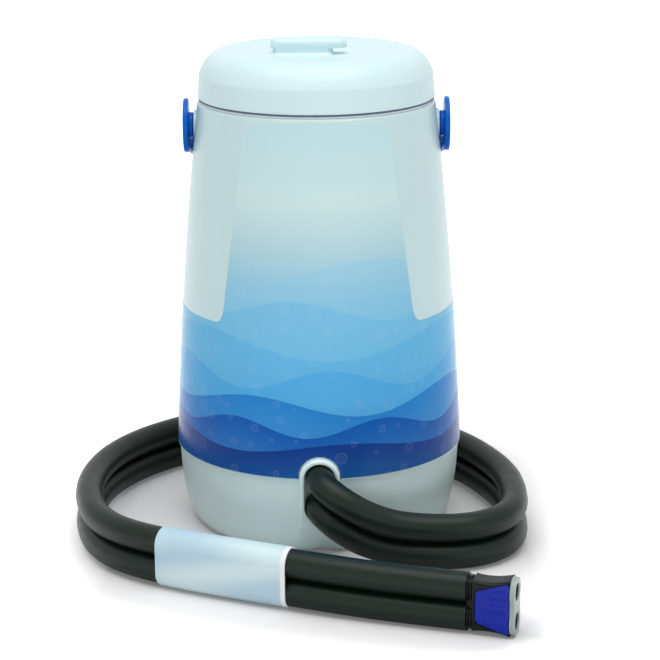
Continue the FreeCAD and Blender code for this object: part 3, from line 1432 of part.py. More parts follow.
# --- all pieces -----------------------------------------------------------------------------------------------
PIECES = {
    "base_shell": base_shell(),
    "base_plate": base_plate(),
    "rubber_feet": rubber_feet(),
    "plate_screws": plate_screws(),
    "case_screws": case_screws(),
    "deck_plate": deck_plate(),
    "bucket_shell": bucket_shell(),
    "tank_liner": liner(),
    "bucket_insulation": insulation(),
    "rim_gasket": rim_gasket(),
    "label_wrap": label_wrap(),
    "bail_handle": bail_handle(),
    "lid_cover": lid_cover(),
    "lid_pan": lid_pan(),
    "lid_foam": lid_foam(),
    "lid_grip": lid_grip(),
    "grip_screws": grip_screws(),
    "pump_case": pump_case(),
    "pump_back_plate": pump_back(),
    "pump_impeller": impeller(),
    "motor_shaft": motor_shaft(),
    "pump_motor": pump_motor(),
    "suction_fitting": suction_fitting(),
    "suction_strainer": strainer(),
    "return_fitting": return_fitting(),
    "supply_fitting": supply_fitting(),
    "drain_fitting": drain_fitting(),
    "supply_tube": supply_tube(),
    "return_tube": return_tube(),
    "power_inlet": power_inlet(),
    "inlet_nut": inlet_nut(),
    "motor_leads": motor_leads(),
    "hose_high": hose_high(),
    "hose_low": hose_low(),
    "hose_sleeve": hose_sleeve(),
    "hose_necks": hose_necks(),
    "coupling_body": coupling_body(),
    "coupling_flange": coupling_flange(),
    "port_seals": port_seals(),
    "valve_poppet_high": valve_poppet(PORTS[1]),
    "valve_poppet_low": valve_poppet(PORTS[0]),
    "valve_spring_high": valve_spring(PORTS[1]),
    "valve_spring_low": valve_spring(PORTS[0]),
    "release_pad_front": release_pad(-1),
    "release_pad_back": release_pad(1),
}

os.makedirs("parts", exist_ok=True)
for name, shape in PIECES.items():
    shape.exportStep("parts/" + name + ".step")
    print(name, len(shape.Solids), "solid(s)", round(shape.Volume / 1000, 2), "cm3",
          "" if shape.isValid() else "NOT VALID")

for name, route in (("hose_high", HIGH_ROUTE), ("hose_low", LOW_ROUTE)):
    path, radii = rounded_route(route)
    ideal = math.pi * hose_r ** 2 * path.Length
    print(name, "length", round(path.Length, 1), "radii", [round(r) for r in radii],
          "volume over section times length", round(PIECES[name].Volume / ideal, 4))
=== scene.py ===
"""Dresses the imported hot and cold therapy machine: bucket, lid, bail, base, hoses and twin coupling.

Lengths in the classes are millimetres, as a maker would write them, and become metres when a mesh is made.
"""

import logging
import math
from dataclasses import dataclass, field
from enum import Enum
from typing import Any, Sequence

import bmesh
import bpy
import numpy as np
from mathutils import Matrix


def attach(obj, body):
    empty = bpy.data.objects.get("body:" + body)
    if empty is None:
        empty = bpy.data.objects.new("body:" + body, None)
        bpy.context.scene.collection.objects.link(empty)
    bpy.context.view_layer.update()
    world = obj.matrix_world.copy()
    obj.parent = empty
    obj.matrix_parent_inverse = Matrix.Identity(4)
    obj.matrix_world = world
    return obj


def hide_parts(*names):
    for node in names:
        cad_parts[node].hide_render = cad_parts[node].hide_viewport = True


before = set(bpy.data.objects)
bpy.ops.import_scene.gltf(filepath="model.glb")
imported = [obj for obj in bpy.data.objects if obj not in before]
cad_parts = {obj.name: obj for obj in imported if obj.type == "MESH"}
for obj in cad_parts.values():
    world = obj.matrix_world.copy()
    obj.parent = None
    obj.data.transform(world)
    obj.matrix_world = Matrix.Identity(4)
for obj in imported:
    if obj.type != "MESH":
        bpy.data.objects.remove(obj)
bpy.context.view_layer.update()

Array = np.ndarray
Thing = bpy.types.Object
Tree = bpy.types.NodeTree
Socket = bpy.types.NodeSocket
Place = tuple[float, float, float]

MM = 0.001
X_WAY, Y_WAY, Z_WAY = np.eye(3)
MERGE = 2e-6  # points of a built mesh closer than this are one, in metres
MERGE_COPY = 1e-6  # the same for copied meshes
SLIVER = 1e-7  # edges shorter than this are dissolved
PRINT_RADIUS = 95.0  # radius at which the wrap's print is laid flat, in mm
log = logging.getLogger("therapy_machine")


# --- Named choices ---


class Side(Enum):
    """Side of the machine, as the sign of X."""

    LEFT = -1
    RIGHT = 1


class Face(Enum):
    """Face of the coupling, as the sign of its own sideways axis."""

    FRONT = -1
    BACK = 1


class Level(Enum):
    """Which of the two stacked hoses."""

    HIGH = 1
    LOW = -1


# --- Colour and node tools ---


def linear(code: str, alpha: float = 1.0) -> tuple[float, float, float, float]:
    """Turn an sRGB hex code into linear RGBA.

    Args:
        code: Six hex digits, with or without a leading hash.
        alpha: Opacity to append.

    Returns:
        Linear red, green, blue and alpha.
    """
    digits = code.lstrip("#")
    srgb = np.array([int(digits[k : k + 2], 16) for k in (0, 2, 4)]) / 255.0
    rgb = np.where(srgb <= 0.04045, srgb / 12.92, ((srgb + 0.055) / 1.055) ** 2.4)
    return (float(rgb[0]), float(rgb[1]), float(rgb[2]), alpha)


def add_node(tree: Tree, kind: str, feeds: dict[Any, Any] | None = None, **settings: Any) -> bpy.types.Node:
    """Add one node with its settings and what feeds its inputs.

    Args:
        tree: Node tree to add to.
        kind: Node type's name.
        feeds: Input name or index to the socket linked to it, or to its own value.
        **settings: Properties of the node.

    Returns:
        The new node.
    """
    node = tree.nodes.new(kind)
    for key, value in settings.items():
        setattr(node, key, value)
    for key, given in (feeds or {}).items():
        if isinstance(given, bpy.types.NodeSocket):
            tree.links.new(given, node.inputs[key])
        else:
            node.inputs[key].default_value = given
    return node


# --- Finishes ---


@dataclass(frozen=True)
class Finish:
    """Surface of one real material, patterned in the object's own millimetres.

    Attributes:
        name: Material and process.
        colour: Main colour.
        shade: Colour that it drifts to in broad patches.
        patch: Size of those patches in mm.
        drift: How far it drifts, 0 to 1.
        rough: Middle roughness.
        rough_spread: How much roughness varies either way.
        grain: Size of the surface grain in mm.
        depth: Depth of the grain in mm.
        metallic: 0 for plastics and rubber, 1 for bare metal.
        specular: Specular level, 0.5 for IOR 1.5.
        coat: Clear layer's weight, for a wet-looking skin.
        bite: Strength of the grain's bump.
    """

    name: str
    colour: str
    shade: str
    patch: float = 60.0
    drift: float = 0.5
    rough: float = 0.4
    rough_spread: float = 0.05
    grain: float = 0.6
    depth: float = 0.01
    metallic: float = 0.0
    specular: float = 0.5
    coat: float = 0.0
    bite: float = 1.0

    def material(self) -> bpy.types.Material:
        """Build the material once and hand the same one out again.

        Returns:
            The material.
        """
        made = bpy.data.materials.get(self.name)
        if made is not None:
            return made
        made = bpy.data.materials.new(self.name)
        made.use_nodes = True
        tree = made.node_tree
        tree.nodes.clear()
        place = add_node(tree, "ShaderNodeTexCoord").outputs["Object"]
        shader = add_node(tree, "ShaderNodeBsdfPrincipled", {
            "Metallic": self.metallic, "Specular IOR Level": self.specular, "Coat Weight": self.coat,
            "Coat Roughness": 0.12, "Base Color": self.paint(tree, place),
            "Roughness": self.polish(tree, place), "Normal": self.relief(tree, place)})
        add_node(tree, "ShaderNodeOutputMaterial", {"Surface": shader.outputs[0]})
        return made

    def paint(self, tree: Tree, place: Socket) -> Socket:
        """Colour that drifts a little between two tones.

        Args:
            tree: Node tree to add to.
            place: Object coordinates.

        Returns:
            The colour's socket.
        """
        cloud = add_node(tree, "ShaderNodeTexNoise",
                         {"Vector": place, "Scale": 1.0 / (self.patch * MM), "Detail": 3.0, "Roughness": 0.55})
        share = add_node(tree, "ShaderNodeMath", {0: cloud.outputs["Fac"], 1: self.drift},
                         operation="MULTIPLY")
        tones = {0: share.outputs[0], 6: linear(self.colour), 7: linear(self.shade)}
        return add_node(tree, "ShaderNodeMix", tones, data_type="RGBA").outputs[2]

    def polish(self, tree: Tree, place: Socket) -> Socket:
        """Roughness that varies with handling and flow of the melt.

        Args:
            tree: Node tree to add to.
            place: Object coordinates.

        Returns:
            The roughness socket.
        """
        cloud = add_node(tree, "ShaderNodeTexNoise",
                         {"Vector": place, "Scale": 2.5 / (self.patch * MM), "Detail": 1.0, "Roughness": 0.5})
        return add_node(tree, "ShaderNodeMapRange",
                        {"Value": cloud.outputs["Fac"], "From Min": 0.1, "From Max": 0.9,
                         "To Min": self.rough - self.rough_spread,
                         "To Max": self.rough + self.rough_spread}).outputs[0]

    def relief(self, tree: Tree, place: Socket) -> Socket:
        """Fine grain of the mould or skin, as bump.

        Args:
            tree: Node tree to add to.
            place: Object coordinates.

        Returns:
            The normal's socket.
        """
        grit = add_node(tree, "ShaderNodeTexNoise",
                        {"Vector": place, "Scale": 1.0 / (self.grain * MM), "Detail": 2.0, "Roughness": 0.5})
        return add_node(tree, "ShaderNodeBump", {"Height": grit.outputs["Fac"], "Strength": self.bite,
                                                 "Distance": self.depth * MM}).outputs[0]


@dataclass(frozen=True)
class BrushedMetal(Finish):
    """Metal drawn or turned one way: the grain is stretched along Z, so glints run into lines.

    Attributes:
        stretch: How many times longer than wide the grain is.
    """

    metallic: float = 1.0
    bite: float = 0.6
    stretch: float = 12.0

    def relief(self, tree: Tree, place: Socket) -> Socket:
        """Grain as in Finish.relief, on coordinates squeezed along Z."""
        drawn = add_node(tree, "ShaderNodeMapping", {"Vector": place, "Scale": (1.0, 1.0, 1.0 / self.stretch)})
        return super().relief(tree, drawn.outputs[0])


@dataclass(frozen=True)
class Swell:
    """One swell of water on the wrap: crest line v = level + rise * sin(waves * u / radius + start), in mm.

    Attributes:
        level: Middle height of the crest.
        rise: How far the crest goes above and below it.
        waves: Crests round the bucket, a whole number so that the print meets itself at the back.
        start: Phase at the front, in radians.
        colour: Colour just under the crest.
        weight: How strongly it covers what lies behind.
    """

    level: float
    rise: float
    waves: int
    start: float
    colour: str
    weight: float


@dataclass(frozen=True)
class PrintedFilm(Finish):
    """Film whose print follows its own UV map, in metres, by a formula made of sums."""

    def terms(self, tree: Tree, sums: dict[str, tuple[Any, ...]], **given: Socket) -> dict[str, Socket]:
        """Work out named sums in order, each from the map's U and V, numbers and earlier names.

        Args:
            tree: Node tree to add to.
            sums: Name to an operation and its one to three terms.
            **given: Further sockets that the sums name.

        Returns:
            Every name's socket, with u and v among them.
        """
        flat = add_node(tree, "ShaderNodeUVMap", uv_map="print").outputs[0]
        parts = add_node(tree, "ShaderNodeSeparateXYZ", {0: flat})
        known = {"u": parts.outputs[0], "v": parts.outputs[1]} | given
        for name, (operation, *values) in sums.items():
            feeds = {k: known[value] if isinstance(value, str) else value for k, value in enumerate(values)}
            known[name] = add_node(tree, "ShaderNodeMath", feeds, operation=operation.removeprefix("CLAMPED_"),
                                   use_clamp=operation.startswith("CLAMPED_")).outputs[0]
        return known


@dataclass(frozen=True)
class WrapPrint(PrintedFilm):
    """Film printed with rolling swells of water under a pale sky, with rising bubbles.

    U runs round the bucket from its front and V is height. The sky is a vertical gradient. What lies below a
    swell's crest takes its colour, and fades with depth under the crest.

    Attributes:
        sky: Colours of the gradient, each with its share of the height.
        foot: Height where the gradient starts, in mm.
        head: Height where it ends.
        swells: Swells from the furthest to the nearest.
        crisp: Width over which a crest line sets in, in mm.
        fade: Depth over which a swell fades.
        thinned: Share of its cover that a swell loses on the way.
        bubble: Spacing of the bubbles, in mm.
        bubble_radii: Smallest and largest radius, as shares of the spacing.
        rim: Width of a bubble's rim and of its soft edge, as shares of the spacing.
        rim_cover: How strongly a bubble shows at its rim and in its middle.
        bubble_colour: Colour of the bubbles.
        joint: Distance from the front at which the bubbles end, and over which they do, in mm.
    """

    sky: tuple[tuple[float, str], ...] = (
        (0.0, "00287e"), (0.09, "005ab4"), (0.15, "0a7ed2"), (0.22, "44b0ee"), (0.36, "70c8f4"),
        (0.50, "8ed0f0"), (0.66, "bee2ea"), (0.78, "d6f0ef"), (1.0, "c8ebf1"),
    )
    foot: float = 57.0
    head: float = 295.0
    swells: tuple[Swell, ...] = (
        Swell(196.0, 9.0, 3, 0.4, "9cd6f0", 0.50), Swell(170.0, 8.0, 4, 2.3, "76c6f0", 0.55),
        Swell(146.0, 8.0, 3, 4.4, "5cbbf0", 0.55), Swell(124.0, 7.0, 5, 1.2, "48aeee", 0.62),
        Swell(106.0, 6.5, 4, 3.4, "0c7ed4", 0.84), Swell(91.0, 5.5, 6, 5.2, "005ab8", 0.94),
        Swell(77.0, 4.0, 4, 0.9, "00358c", 0.92),
    )
    crisp: float = 0.6
    fade: float = 30.0
    thinned: float = 0.55
    bubble: float = 17.0
    bubble_radii: tuple[float, float] = (0.06, 0.26)
    rim: tuple[float, float] = (0.07, 0.02)
    rim_cover: tuple[float, float] = (0.09, 0.02)
    bubble_colour: str = "e8f8ff"
    joint: tuple[float, float] = (286.0, 12.0)

    def paint(self, tree: Tree, place: Socket) -> Socket:
        """Sky gradient, then each swell over it from the furthest to the nearest, then bubbles.

        Args:
            tree: Node tree to add to.
            place: Object coordinates, unused because the print follows the film.

        Returns:
            The colour's socket.
        """
        sums: dict[str, tuple[Any, ...]] = {
            "rise": ("SUBTRACT", "v", self.foot * MM),
            "height": ("DIVIDE", "rise", (self.head - self.foot) * MM)}
        for k, swell in enumerate(self.swells):
            sums |= {
                f"turn{k}": ("MULTIPLY_ADD", "u", swell.waves / (PRINT_RADIUS * MM), swell.start),
                f"wave{k}": ("SINE", f"turn{k}"),
                f"crest{k}": ("MULTIPLY_ADD", f"wave{k}", swell.rise * MM, swell.level * MM),
                f"under{k}": ("SUBTRACT", f"crest{k}", "v"),
                f"inside{k}": ("CLAMPED_DIVIDE", f"under{k}", self.crisp * MM),
                f"deep{k}": ("CLAMPED_DIVIDE", f"under{k}", self.fade * MM),
                f"cover{k}": ("MULTIPLY_ADD", f"deep{k}", -self.thinned * swell.weight, swell.weight),
                f"share{k}": ("MULTIPLY", f"inside{k}", f"cover{k}")}
        known = self.terms(tree, sums)
        ramp = add_node(tree, "ShaderNodeValToRGB", {0: known["height"]})
        while len(ramp.color_ramp.elements) < len(self.sky):
            ramp.color_ramp.elements.new(0.5)
        for element, (position, code) in zip(ramp.color_ramp.elements, self.sky):
            element.position = position
            element.color = linear(code)
        colour = ramp.outputs[0]
        for k, swell in enumerate(self.swells):
            tones = {0: known[f"share{k}"], 6: colour, 7: linear(swell.colour)}
            colour = add_node(tree, "ShaderNodeMix", tones, data_type="RGBA").outputs[2]
        return self.bubbles(tree, colour)

    def bubbles(self, tree: Tree, colour: Socket) -> Socket:
        """Lay pale rings round the centres of cells, each of its own size, with none over the film's joint.

        Args:
            tree: Node tree to add to.
            colour: Colour to lay them on.

        Returns:
            The colour's socket.
        """
        flat = add_node(tree, "ShaderNodeUVMap", uv_map="print").outputs[0]
        cells = add_node(tree, "ShaderNodeTexVoronoi",
                         {"Vector": flat, "Scale": 1.0 / (self.bubble * MM), "Randomness": 0.9},
                         voronoi_dimensions="2D")
        size = add_node(tree, "ShaderNodeSeparateColor", {0: cells.outputs["Color"]}).outputs[0]
        (least, most), (outer, inner), (rim, edge) = self.bubble_radii, self.rim_cover, self.rim
        share = self.terms(tree, {
            "radius": ("MULTIPLY_ADD", "size", most - least, least),
            "inward": ("SUBTRACT", "radius", "distance"),
            "deep": ("CLAMPED_DIVIDE", "inward", rim),
            "ring": ("MULTIPLY_ADD", "deep", inner - outer, outer),
            "disc": ("CLAMPED_DIVIDE", "inward", edge),
            "shown": ("MULTIPLY", "ring", "disc"),
            "side": ("ABSOLUTE", "u"),
            "room": ("SUBTRACT", self.joint[0] * MM, "side"),
            "away": ("CLAMPED_DIVIDE", "room", self.joint[1] * MM),
            "share": ("MULTIPLY", "shown", "away")}, size=size, distance=cells.outputs["Distance"])["share"]
        return add_node(tree, "ShaderNodeMix", {0: share, 6: colour, 7: linear(self.bubble_colour)},
                        data_type="RGBA").outputs[2]


@dataclass(frozen=True)
class SleevePrint(PrintedFilm):
    """Soft printed sleeve: pale aqua with slanting washes of blue, and a white band at its onward end.

    U runs along the sleeve and V round it.

    Attributes:
        length: Length of the sleeve, in mm.
        girth: Distance round it, in mm.
        slant: Turns that the wash makes from one end to the other.
        wash: How far the wash's share swings, and its middle.
        band: Share of the length where the white band starts, and over which it sets in.
        band_colour: Colour of that band.
    """

    length: float = 94.0
    girth: float = 105.0
    slant: float = 0.8
    wash: tuple[float, float] = (0.3, 0.35)
    band: tuple[float, float] = (0.955, 0.01)
    band_colour: str = "f2f7f7"

    def paint(self, tree: Tree, place: Socket) -> Socket:
        """Slanting washes that follow sin(2 pi (slant * along + round)), then the white band.

        Args:
            tree: Node tree to add to.
            place: Object coordinates, unused because the print follows the sleeve.

        Returns:
            The colour's socket.
        """
        known = self.terms(tree, {
            "along": ("DIVIDE", "u", self.length * MM),
            "round": ("DIVIDE", "v", self.girth * MM),
            "slant": ("MULTIPLY_ADD", "along", self.slant, "round"),
            "turn": ("MULTIPLY", "slant", 2 * math.pi),
            "wave": ("SINE", "turn"),
            "wash": ("CLAMPED_MULTIPLY_ADD", "wave", *self.wash),
            "late": ("SUBTRACT", "along", self.band[0]),
            "band": ("CLAMPED_DIVIDE", "late", self.band[1])})
        tones = {0: known["wash"], 6: linear(self.colour), 7: linear(self.shade)}
        washed = add_node(tree, "ShaderNodeMix", tones, data_type="RGBA").outputs[2]
        ends = {0: known["band"], 6: washed, 7: linear(self.band_colour)}
        return add_node(tree, "ShaderNodeMix", ends, data_type="RGBA").outputs[2]


# Satin body plastic, in a lighter copy for the base: painted light that makes up for the shade it sits in.
# Soft, even highlights and hardly any grain.
BASE_ABS = Finish("moulded_base_abs", "e6fbfb", "dff5f5", 240, 0.4, 0.34, 0.02, 0.9, 0.002)
# The same plastic, darker and cooler on the bucket: painted shade that tones down its wall, which takes more
# light than the base. A calm, pale surround for the print.
WHITE_ABS = Finish("moulded_white_abs", "cde8ea", "c7e2e4", 240, 0.4, 0.34, 0.02, 0.9, 0.002)
# Lid plastic: an icy tint, broad soft highlights and the faintest orange peel.
LID_ABS = Finish("moulded_lid_abs", "d9f2f6", "d3edf2", 200, 0.4, 0.36, 0.02, 0.8, 0.002, specular=0.4)
# Polypropylene of the tank: waxy and slightly cloudy, duller than the body.
LINER_PP = Finish("moulded_white_polypropylene", "e6edee", "d9e2e4", 40, 0.5, 0.42, 0.05, 0.7, 0.01)
# Strap: saturated blue with only a thin glint, so that its rim and recess read by shade.
HANDLE_PP = Finish("moulded_blue_polypropylene", "0066ce", "0058b6", 25, 0.6, 0.28, 0.05, 0.5, 0.008,
                   specular=0.12)
# Release pads: deep indigo, the glossiest plastic here, so that the ridges catch the light.
PAD_PP = Finish("moulded_indigo_polypropylene", "0c26a8", "081c90", 8, 0.6, 0.20, 0.04, 0.4, 0.006,
                specular=0.2)
# Coupling body: near black, with tight glints on its edges only.
BLACK_ABS = Finish("moulded_black_abs", "0b1412", "070c0b", 12, 0.6, 0.28, 0.06, 0.4, 0.012, specular=0.15)
# End plate: dense mid grey with a slick, narrow highlight.
GREY_ACETAL = Finish("moulded_grey_acetal", "a4b1ac", "8d9b96", 10, 0.6, 0.36, 0.05, 0.4, 0.01)
# Closed-cell foam with an extruded skin: broad dull highlights, a fine pebble, a green cast.
HOSE_FOAM = Finish("extruded_black_foam_skin", "091c14", "06130d", 24, 0.7, 0.42, 0.05, 0.5, 0.03,
                   specular=0.24)
# Gasket: a bluish slate line with no glint.
GASKET_RUBBER = Finish("moulded_slate_silicone", "5a6b86", "46566f", 15, 0.5, 0.55, 0.05, 0.4, 0.01)
# Feet: matt black that swallows light.
FOOT_RUBBER = Finish("moulded_black_rubber", "1a1b1d", "101112", 8, 0.5, 0.75, 0.06, 0.4, 0.03)
# Seals: black with a faint oily shine.
SEAL_RUBBER = Finish("moulded_seal_rubber", "101213", "0a0b0c", 6, 0.5, 0.5, 0.05, 0.3, 0.01)
# Poured foam: cream, with open bubbles where it was cut.
BLOWN_FOAM = Finish("cast_cream_polyurethane_foam", "e9dfc0", "d8cba6", 12, 0.9, 0.9, 0.05, 1.6, 0.25)
# Pump housings: charcoal with a slightly sandy face.
BLACK_NYLON = Finish("moulded_black_nylon", "22252a", "16181b", 14, 0.6, 0.5, 0.06, 0.5, 0.02)
# Fittings: warm ivory with a satin bloom.
IVORY_NYLON = Finish("moulded_ivory_nylon", "d9d8cc", "c6c5b6", 14, 0.6, 0.45, 0.06, 0.5, 0.015)
# Inner tubes: milky blue-white under a wet-looking skin.
CLEAR_PVC = Finish("extruded_clear_pvc", "cfdcdf", "bccdd2", 20, 0.6, 0.25, 0.05, 0.8, 0.01, coat=0.3)
# Motor leads: plain red with a small glint.
WIRE_PVC = Finish("extruded_red_pvc", "b3221c", "941a15", 10, 0.5, 0.4, 0.05, 0.5, 0.01)
# Screws, shaft and springs: bright steel with fine drawn lines.
SCREW_STEEL = BrushedMetal("rolled_bright_steel", "b9bcc0", "9da1a6", 4, 0.5, 0.32, 0.08, 0.25, 0.006)
# Motor can: greyer steel with softer, broader lines.
MOTOR_STEEL = BrushedMetal("drawn_motor_steel", "a9acb1", "8e9297", 10, 0.5, 0.38, 0.08, 0.35, 0.008)
# Wrap: smooth film whose print keeps its depth, because it mirrors little.
WRAP_FILM = WrapPrint("printed_wrap_film", "ffffff", "ffffff", 60, 0.5, 0.22, 0.03, 1.2, 0.003, specular=0.08)
# Sleeve: soft matt film with a broad, pale highlight along each hose.
SLEEVE_FILM = SleevePrint("printed_sleeve_film", "d9eff2", "a6c8e0", 30, 0.5, 0.42, 0.05, 0.6, 0.012)


# --- Surface tools ---


@dataclass
class Skin:
    """One grid of points, ready to become faces.

    Attributes:
        points: Rows by columns by 3, in mm.
        wrap_rows: Whether the last row joins the first.
        wrap_columns: Whether the last column joins the first.
        print_map: Rows by columns by 2, in metres, or None.
    """

    points: Array
    wrap_rows: bool = False
    wrap_columns: bool = False
    print_map: Array | None = None

    def quads(self) -> Array:
        """Corner indices of the faces between neighbouring rows and columns.

        Returns:
            Faces by 4 corner indices.
        """
        rows, columns = self.points.shape[:2]
        index = np.arange(rows * columns).reshape(rows, columns)
        r = np.arange(rows if self.wrap_rows else rows - 1)
        c = np.arange(columns if self.wrap_columns else columns - 1)
        r1, c1 = (r + 1) % rows, (c + 1) % columns
        corners = [index[np.ix_(r, c)], index[np.ix_(r, c1)], index[np.ix_(r1, c1)], index[np.ix_(r1, c)]]
        return np.stack(corners, axis=-1).reshape(-1, 4)


def placed(name: str, data: bpy.types.ID) -> Thing:
    """Show mesh, curve, lamp or camera data in the scene by a new object at the origin.

    Args:
        name: Object's name.
        data: What it shows.

    Returns:
        The new object.
    """
    made = bpy.data.objects.new(name, data)
    bpy.context.scene.collection.objects.link(made)
    return made


def shade(mesh: bpy.types.Mesh, sharp: float) -> None:
    """Shade a mesh smooth, with crisp edges where it turns by more than this many degrees."""
    mesh.polygons.foreach_set("use_smooth", np.ones(len(mesh.polygons), bool))
    mesh.set_sharp_from_angle(angle=math.radians(sharp))


def build_mesh(name: str, skins: Sequence[Skin], sharp: float) -> Thing:
    """Join skins into one mesh object with closed seams and poles and outward faces.

    Args:
        name: Piece's name.
        skins: Grids that make it up.
        sharp: Edges that turn by more than this many degrees stay crisp.

    Returns:
        The new object, at the origin.
    """
    counts = np.cumsum([0] + [s.points.shape[0] * s.points.shape[1] for s in skins])
    points = np.concatenate([s.points.reshape(-1, 3) for s in skins]) * MM
    faces = np.concatenate([s.quads() + start for s, start in zip(skins, counts)])
    mesh = bpy.data.meshes.new(name)
    mesh.from_pydata(points.tolist(), [], faces.tolist())
    if any(s.print_map is not None for s in skins):
        flat = np.concatenate([
            (s.print_map if s.print_map is not None else np.zeros(s.points.shape[:2] + (2,))).reshape(-1, 2)
            for s in skins])
        layer = mesh.uv_layers.new(name="print")
        corner = np.zeros(len(mesh.loops), np.int32)
        mesh.loops.foreach_get("vertex_index", corner)
        layer.data.foreach_set("uv", flat[corner].ravel())
    work = bmesh.new()
    work.from_mesh(mesh)
    bmesh.ops.remove_doubles(work, verts=work.verts, dist=MERGE)
    bmesh.ops.dissolve_degenerate(work, edges=work.edges, dist=SLIVER)
    bmesh.ops.recalc_face_normals(work, faces=work.faces)
    work.to_mesh(mesh)
    work.free()
    shade(mesh, sharp)
    return placed(name, mesh)


def rounded(points: Sequence[tuple[float, float]], radii: Sequence[float], steps: int = 6) -> Array:
    """Run a path through corners, each eased by a tangent arc.

    At a corner of turn a, the arc of radius r starts r * tan(a / 2) before the corner and ends as far after
    it. Its points are the arc's centre plus the radius swung evenly from one tangent point to the other.

    Args:
        points: Corners in the plane, first and last kept as they are.
        radii: One radius per corner, 0 for a crisp one.
        steps: Pieces per arc.

    Returns:
        Dense points, N by 2.
    """
    given = np.array(points, float)
    chain = [given[:1]]
    for before, here, after, radius in zip(given, given[1:], given[2:], radii[1:-1]):
        into = (here - before) / np.linalg.norm(here - before)
        out = (after - here) / np.linalg.norm(after - here)
        turn = math.acos(float(np.clip(into @ out, -1, 1)))
        if radius <= 0 or turn < 1e-3:
            chain.append(here[None])
            continue
        reach = radius * math.tan(turn / 2)
        inward = (out - into) / np.linalg.norm(out - into)
        centre = here + inward * radius / math.cos(turn / 2)
        start, end = here - into * reach - centre, here + out * reach - centre
        share = np.linspace(0, 1, steps + 1)[:, None]
        arc = (np.sin((1 - share) * turn) * start + np.sin(share * turn) * end) / math.sin(turn)
        chain.append(centre + arc)
    chain.append(given[-1:])
    return np.concatenate(chain)


def run_lengths(path: Array) -> Array:
    """Distance along a path at each of its points."""
    return np.concatenate([[0.0], np.cumsum(np.linalg.norm(np.diff(path, axis=0), axis=1))])


def read_off(places: Array, known: Array, values: Array) -> Array:
    """Interpolate each column of values, given at known places, at other places."""
    return np.stack([np.interp(places, known, column) for column in values.T], axis=1)


def spaced(profile: Array, step: float) -> Array:
    """Add points along a path so that no piece is longer than a step.

    Args:
        profile: N by 2 points.
        step: Longest piece in mm.

    Returns:
        Dense points, M by 2, with the given ones among them.
    """
    far = run_lengths(profile)
    places = np.unique(np.round(np.concatenate([far, np.arange(0.0, far[-1], step)]), 4))
    return read_off(places, far, profile)


def spun(profile: Array, segments: int = 192, closed: bool = True) -> Skin:
    """Turn a profile round Z: x = r cos t, y = r sin t, z = h.

    Args:
        profile: N by 2 of radius and height.
        segments: Steps round the axis.
        closed: Whether the profile is a loop.

    Returns:
        The skin.
    """
    turn = np.linspace(0, 2 * np.pi, segments, endpoint=False)[:, None]
    radius, height = profile[None, :, 0], profile[None, :, 1]
    points = np.stack([radius * np.cos(turn), radius * np.sin(turn), height + 0 * turn], axis=-1)
    return Skin(points, wrap_rows=True, wrap_columns=closed)


def turned_about(skin: Skin, origin: Array, right: Array, ahead: Array, up: Array) -> Skin:
    """Carry a skin into another frame: origin + x * right + y * ahead + z * up.

    Args:
        skin: Skin in its own frame.
        origin: Where its origin goes.
        right: Direction of its X.
        ahead: Direction of its Y.
        up: Direction of its Z.

    Returns:
        The carried skin.
    """
    p = skin.points
    moved = origin + p[..., :1] * right + p[..., 1:2] * ahead + p[..., 2:] * up
    return Skin(moved, skin.wrap_rows, skin.wrap_columns, skin.print_map)


def front_round(loops: Array, turn: Array) -> Array:
    """Set loops of radius and height round Z, one at each angle from the front: x = r sin t, y = -r cos t."""
    return np.stack([loops[..., 0] * np.sin(turn), -loops[..., 0] * np.cos(turn), loops[..., 1]], axis=-1)


def on_both_sides(skin: Skin, height: float) -> list[Skin]:
    """Turn a skin's axis from Z to point out to either side, at this height."""
    return [turned_about(skin, height * Z_WAY, Z_WAY, Y_WAY, side.value * X_WAY) for side in Side]


def plan_outline(length: float, width: float, corner: float, steps: int = 8) -> Array:
    """Closed rounded rectangle, centred, as unit-speed corners: each corner is a quarter circle.

    Args:
        length: Size along X.
        width: Size along Y.
        corner: Corner radius.
        steps: Pieces per corner.

    Returns:
        M by 2 points, not repeated at the end.
    """
    angle = np.linspace(0, np.pi / 2, steps + 1)
    quarter = np.stack([np.cos(angle), np.sin(angle)], axis=1) * corner
    signs = np.array([(1, 1), (-1, 1), (-1, -1), (1, -1)])
    middle = np.array([length / 2 - corner, width / 2 - corner])
    turns = [np.array([[math.cos(k * np.pi / 2), math.sin(k * np.pi / 2)],
                       [-math.sin(k * np.pi / 2), math.cos(k * np.pi / 2)]]) for k in range(4)]
    return np.concatenate([quarter @ t + s * middle for t, s in zip(turns, signs)])


def stacked(outline: Array, levels: Array) -> Skin:
    """Stack an outline along Z, pulled in by each level's inset along its own normals.

    A point at level k is outline - normal * inset(k), at height(k). The first and last levels close to the
    outline's middle.

    Args:
        outline: M by 2 closed plan, anticlockwise.
        levels: K by 2 of inset and height.

    Returns:
        The closed skin.
    """
    ahead = np.roll(outline, -1, axis=0) - np.roll(outline, 1, axis=0)
    normal = np.stack([ahead[:, 1], -ahead[:, 0]], axis=1)
    normal /= np.linalg.norm(normal, axis=1, keepdims=True)
    flat = outline[None] - normal[None] * levels[:, :1, None]
    flat = np.concatenate([outline.mean(0) + 0 * flat[:1], flat, outline.mean(0) + 0 * flat[-1:]])
    height = np.concatenate([levels[:1, 1], levels[:, 1], levels[-1:, 1]])
    points = np.concatenate([flat, np.broadcast_to(height[:, None, None], flat.shape[:2] + (1,))], axis=-1)
    return Skin(points, wrap_columns=True)


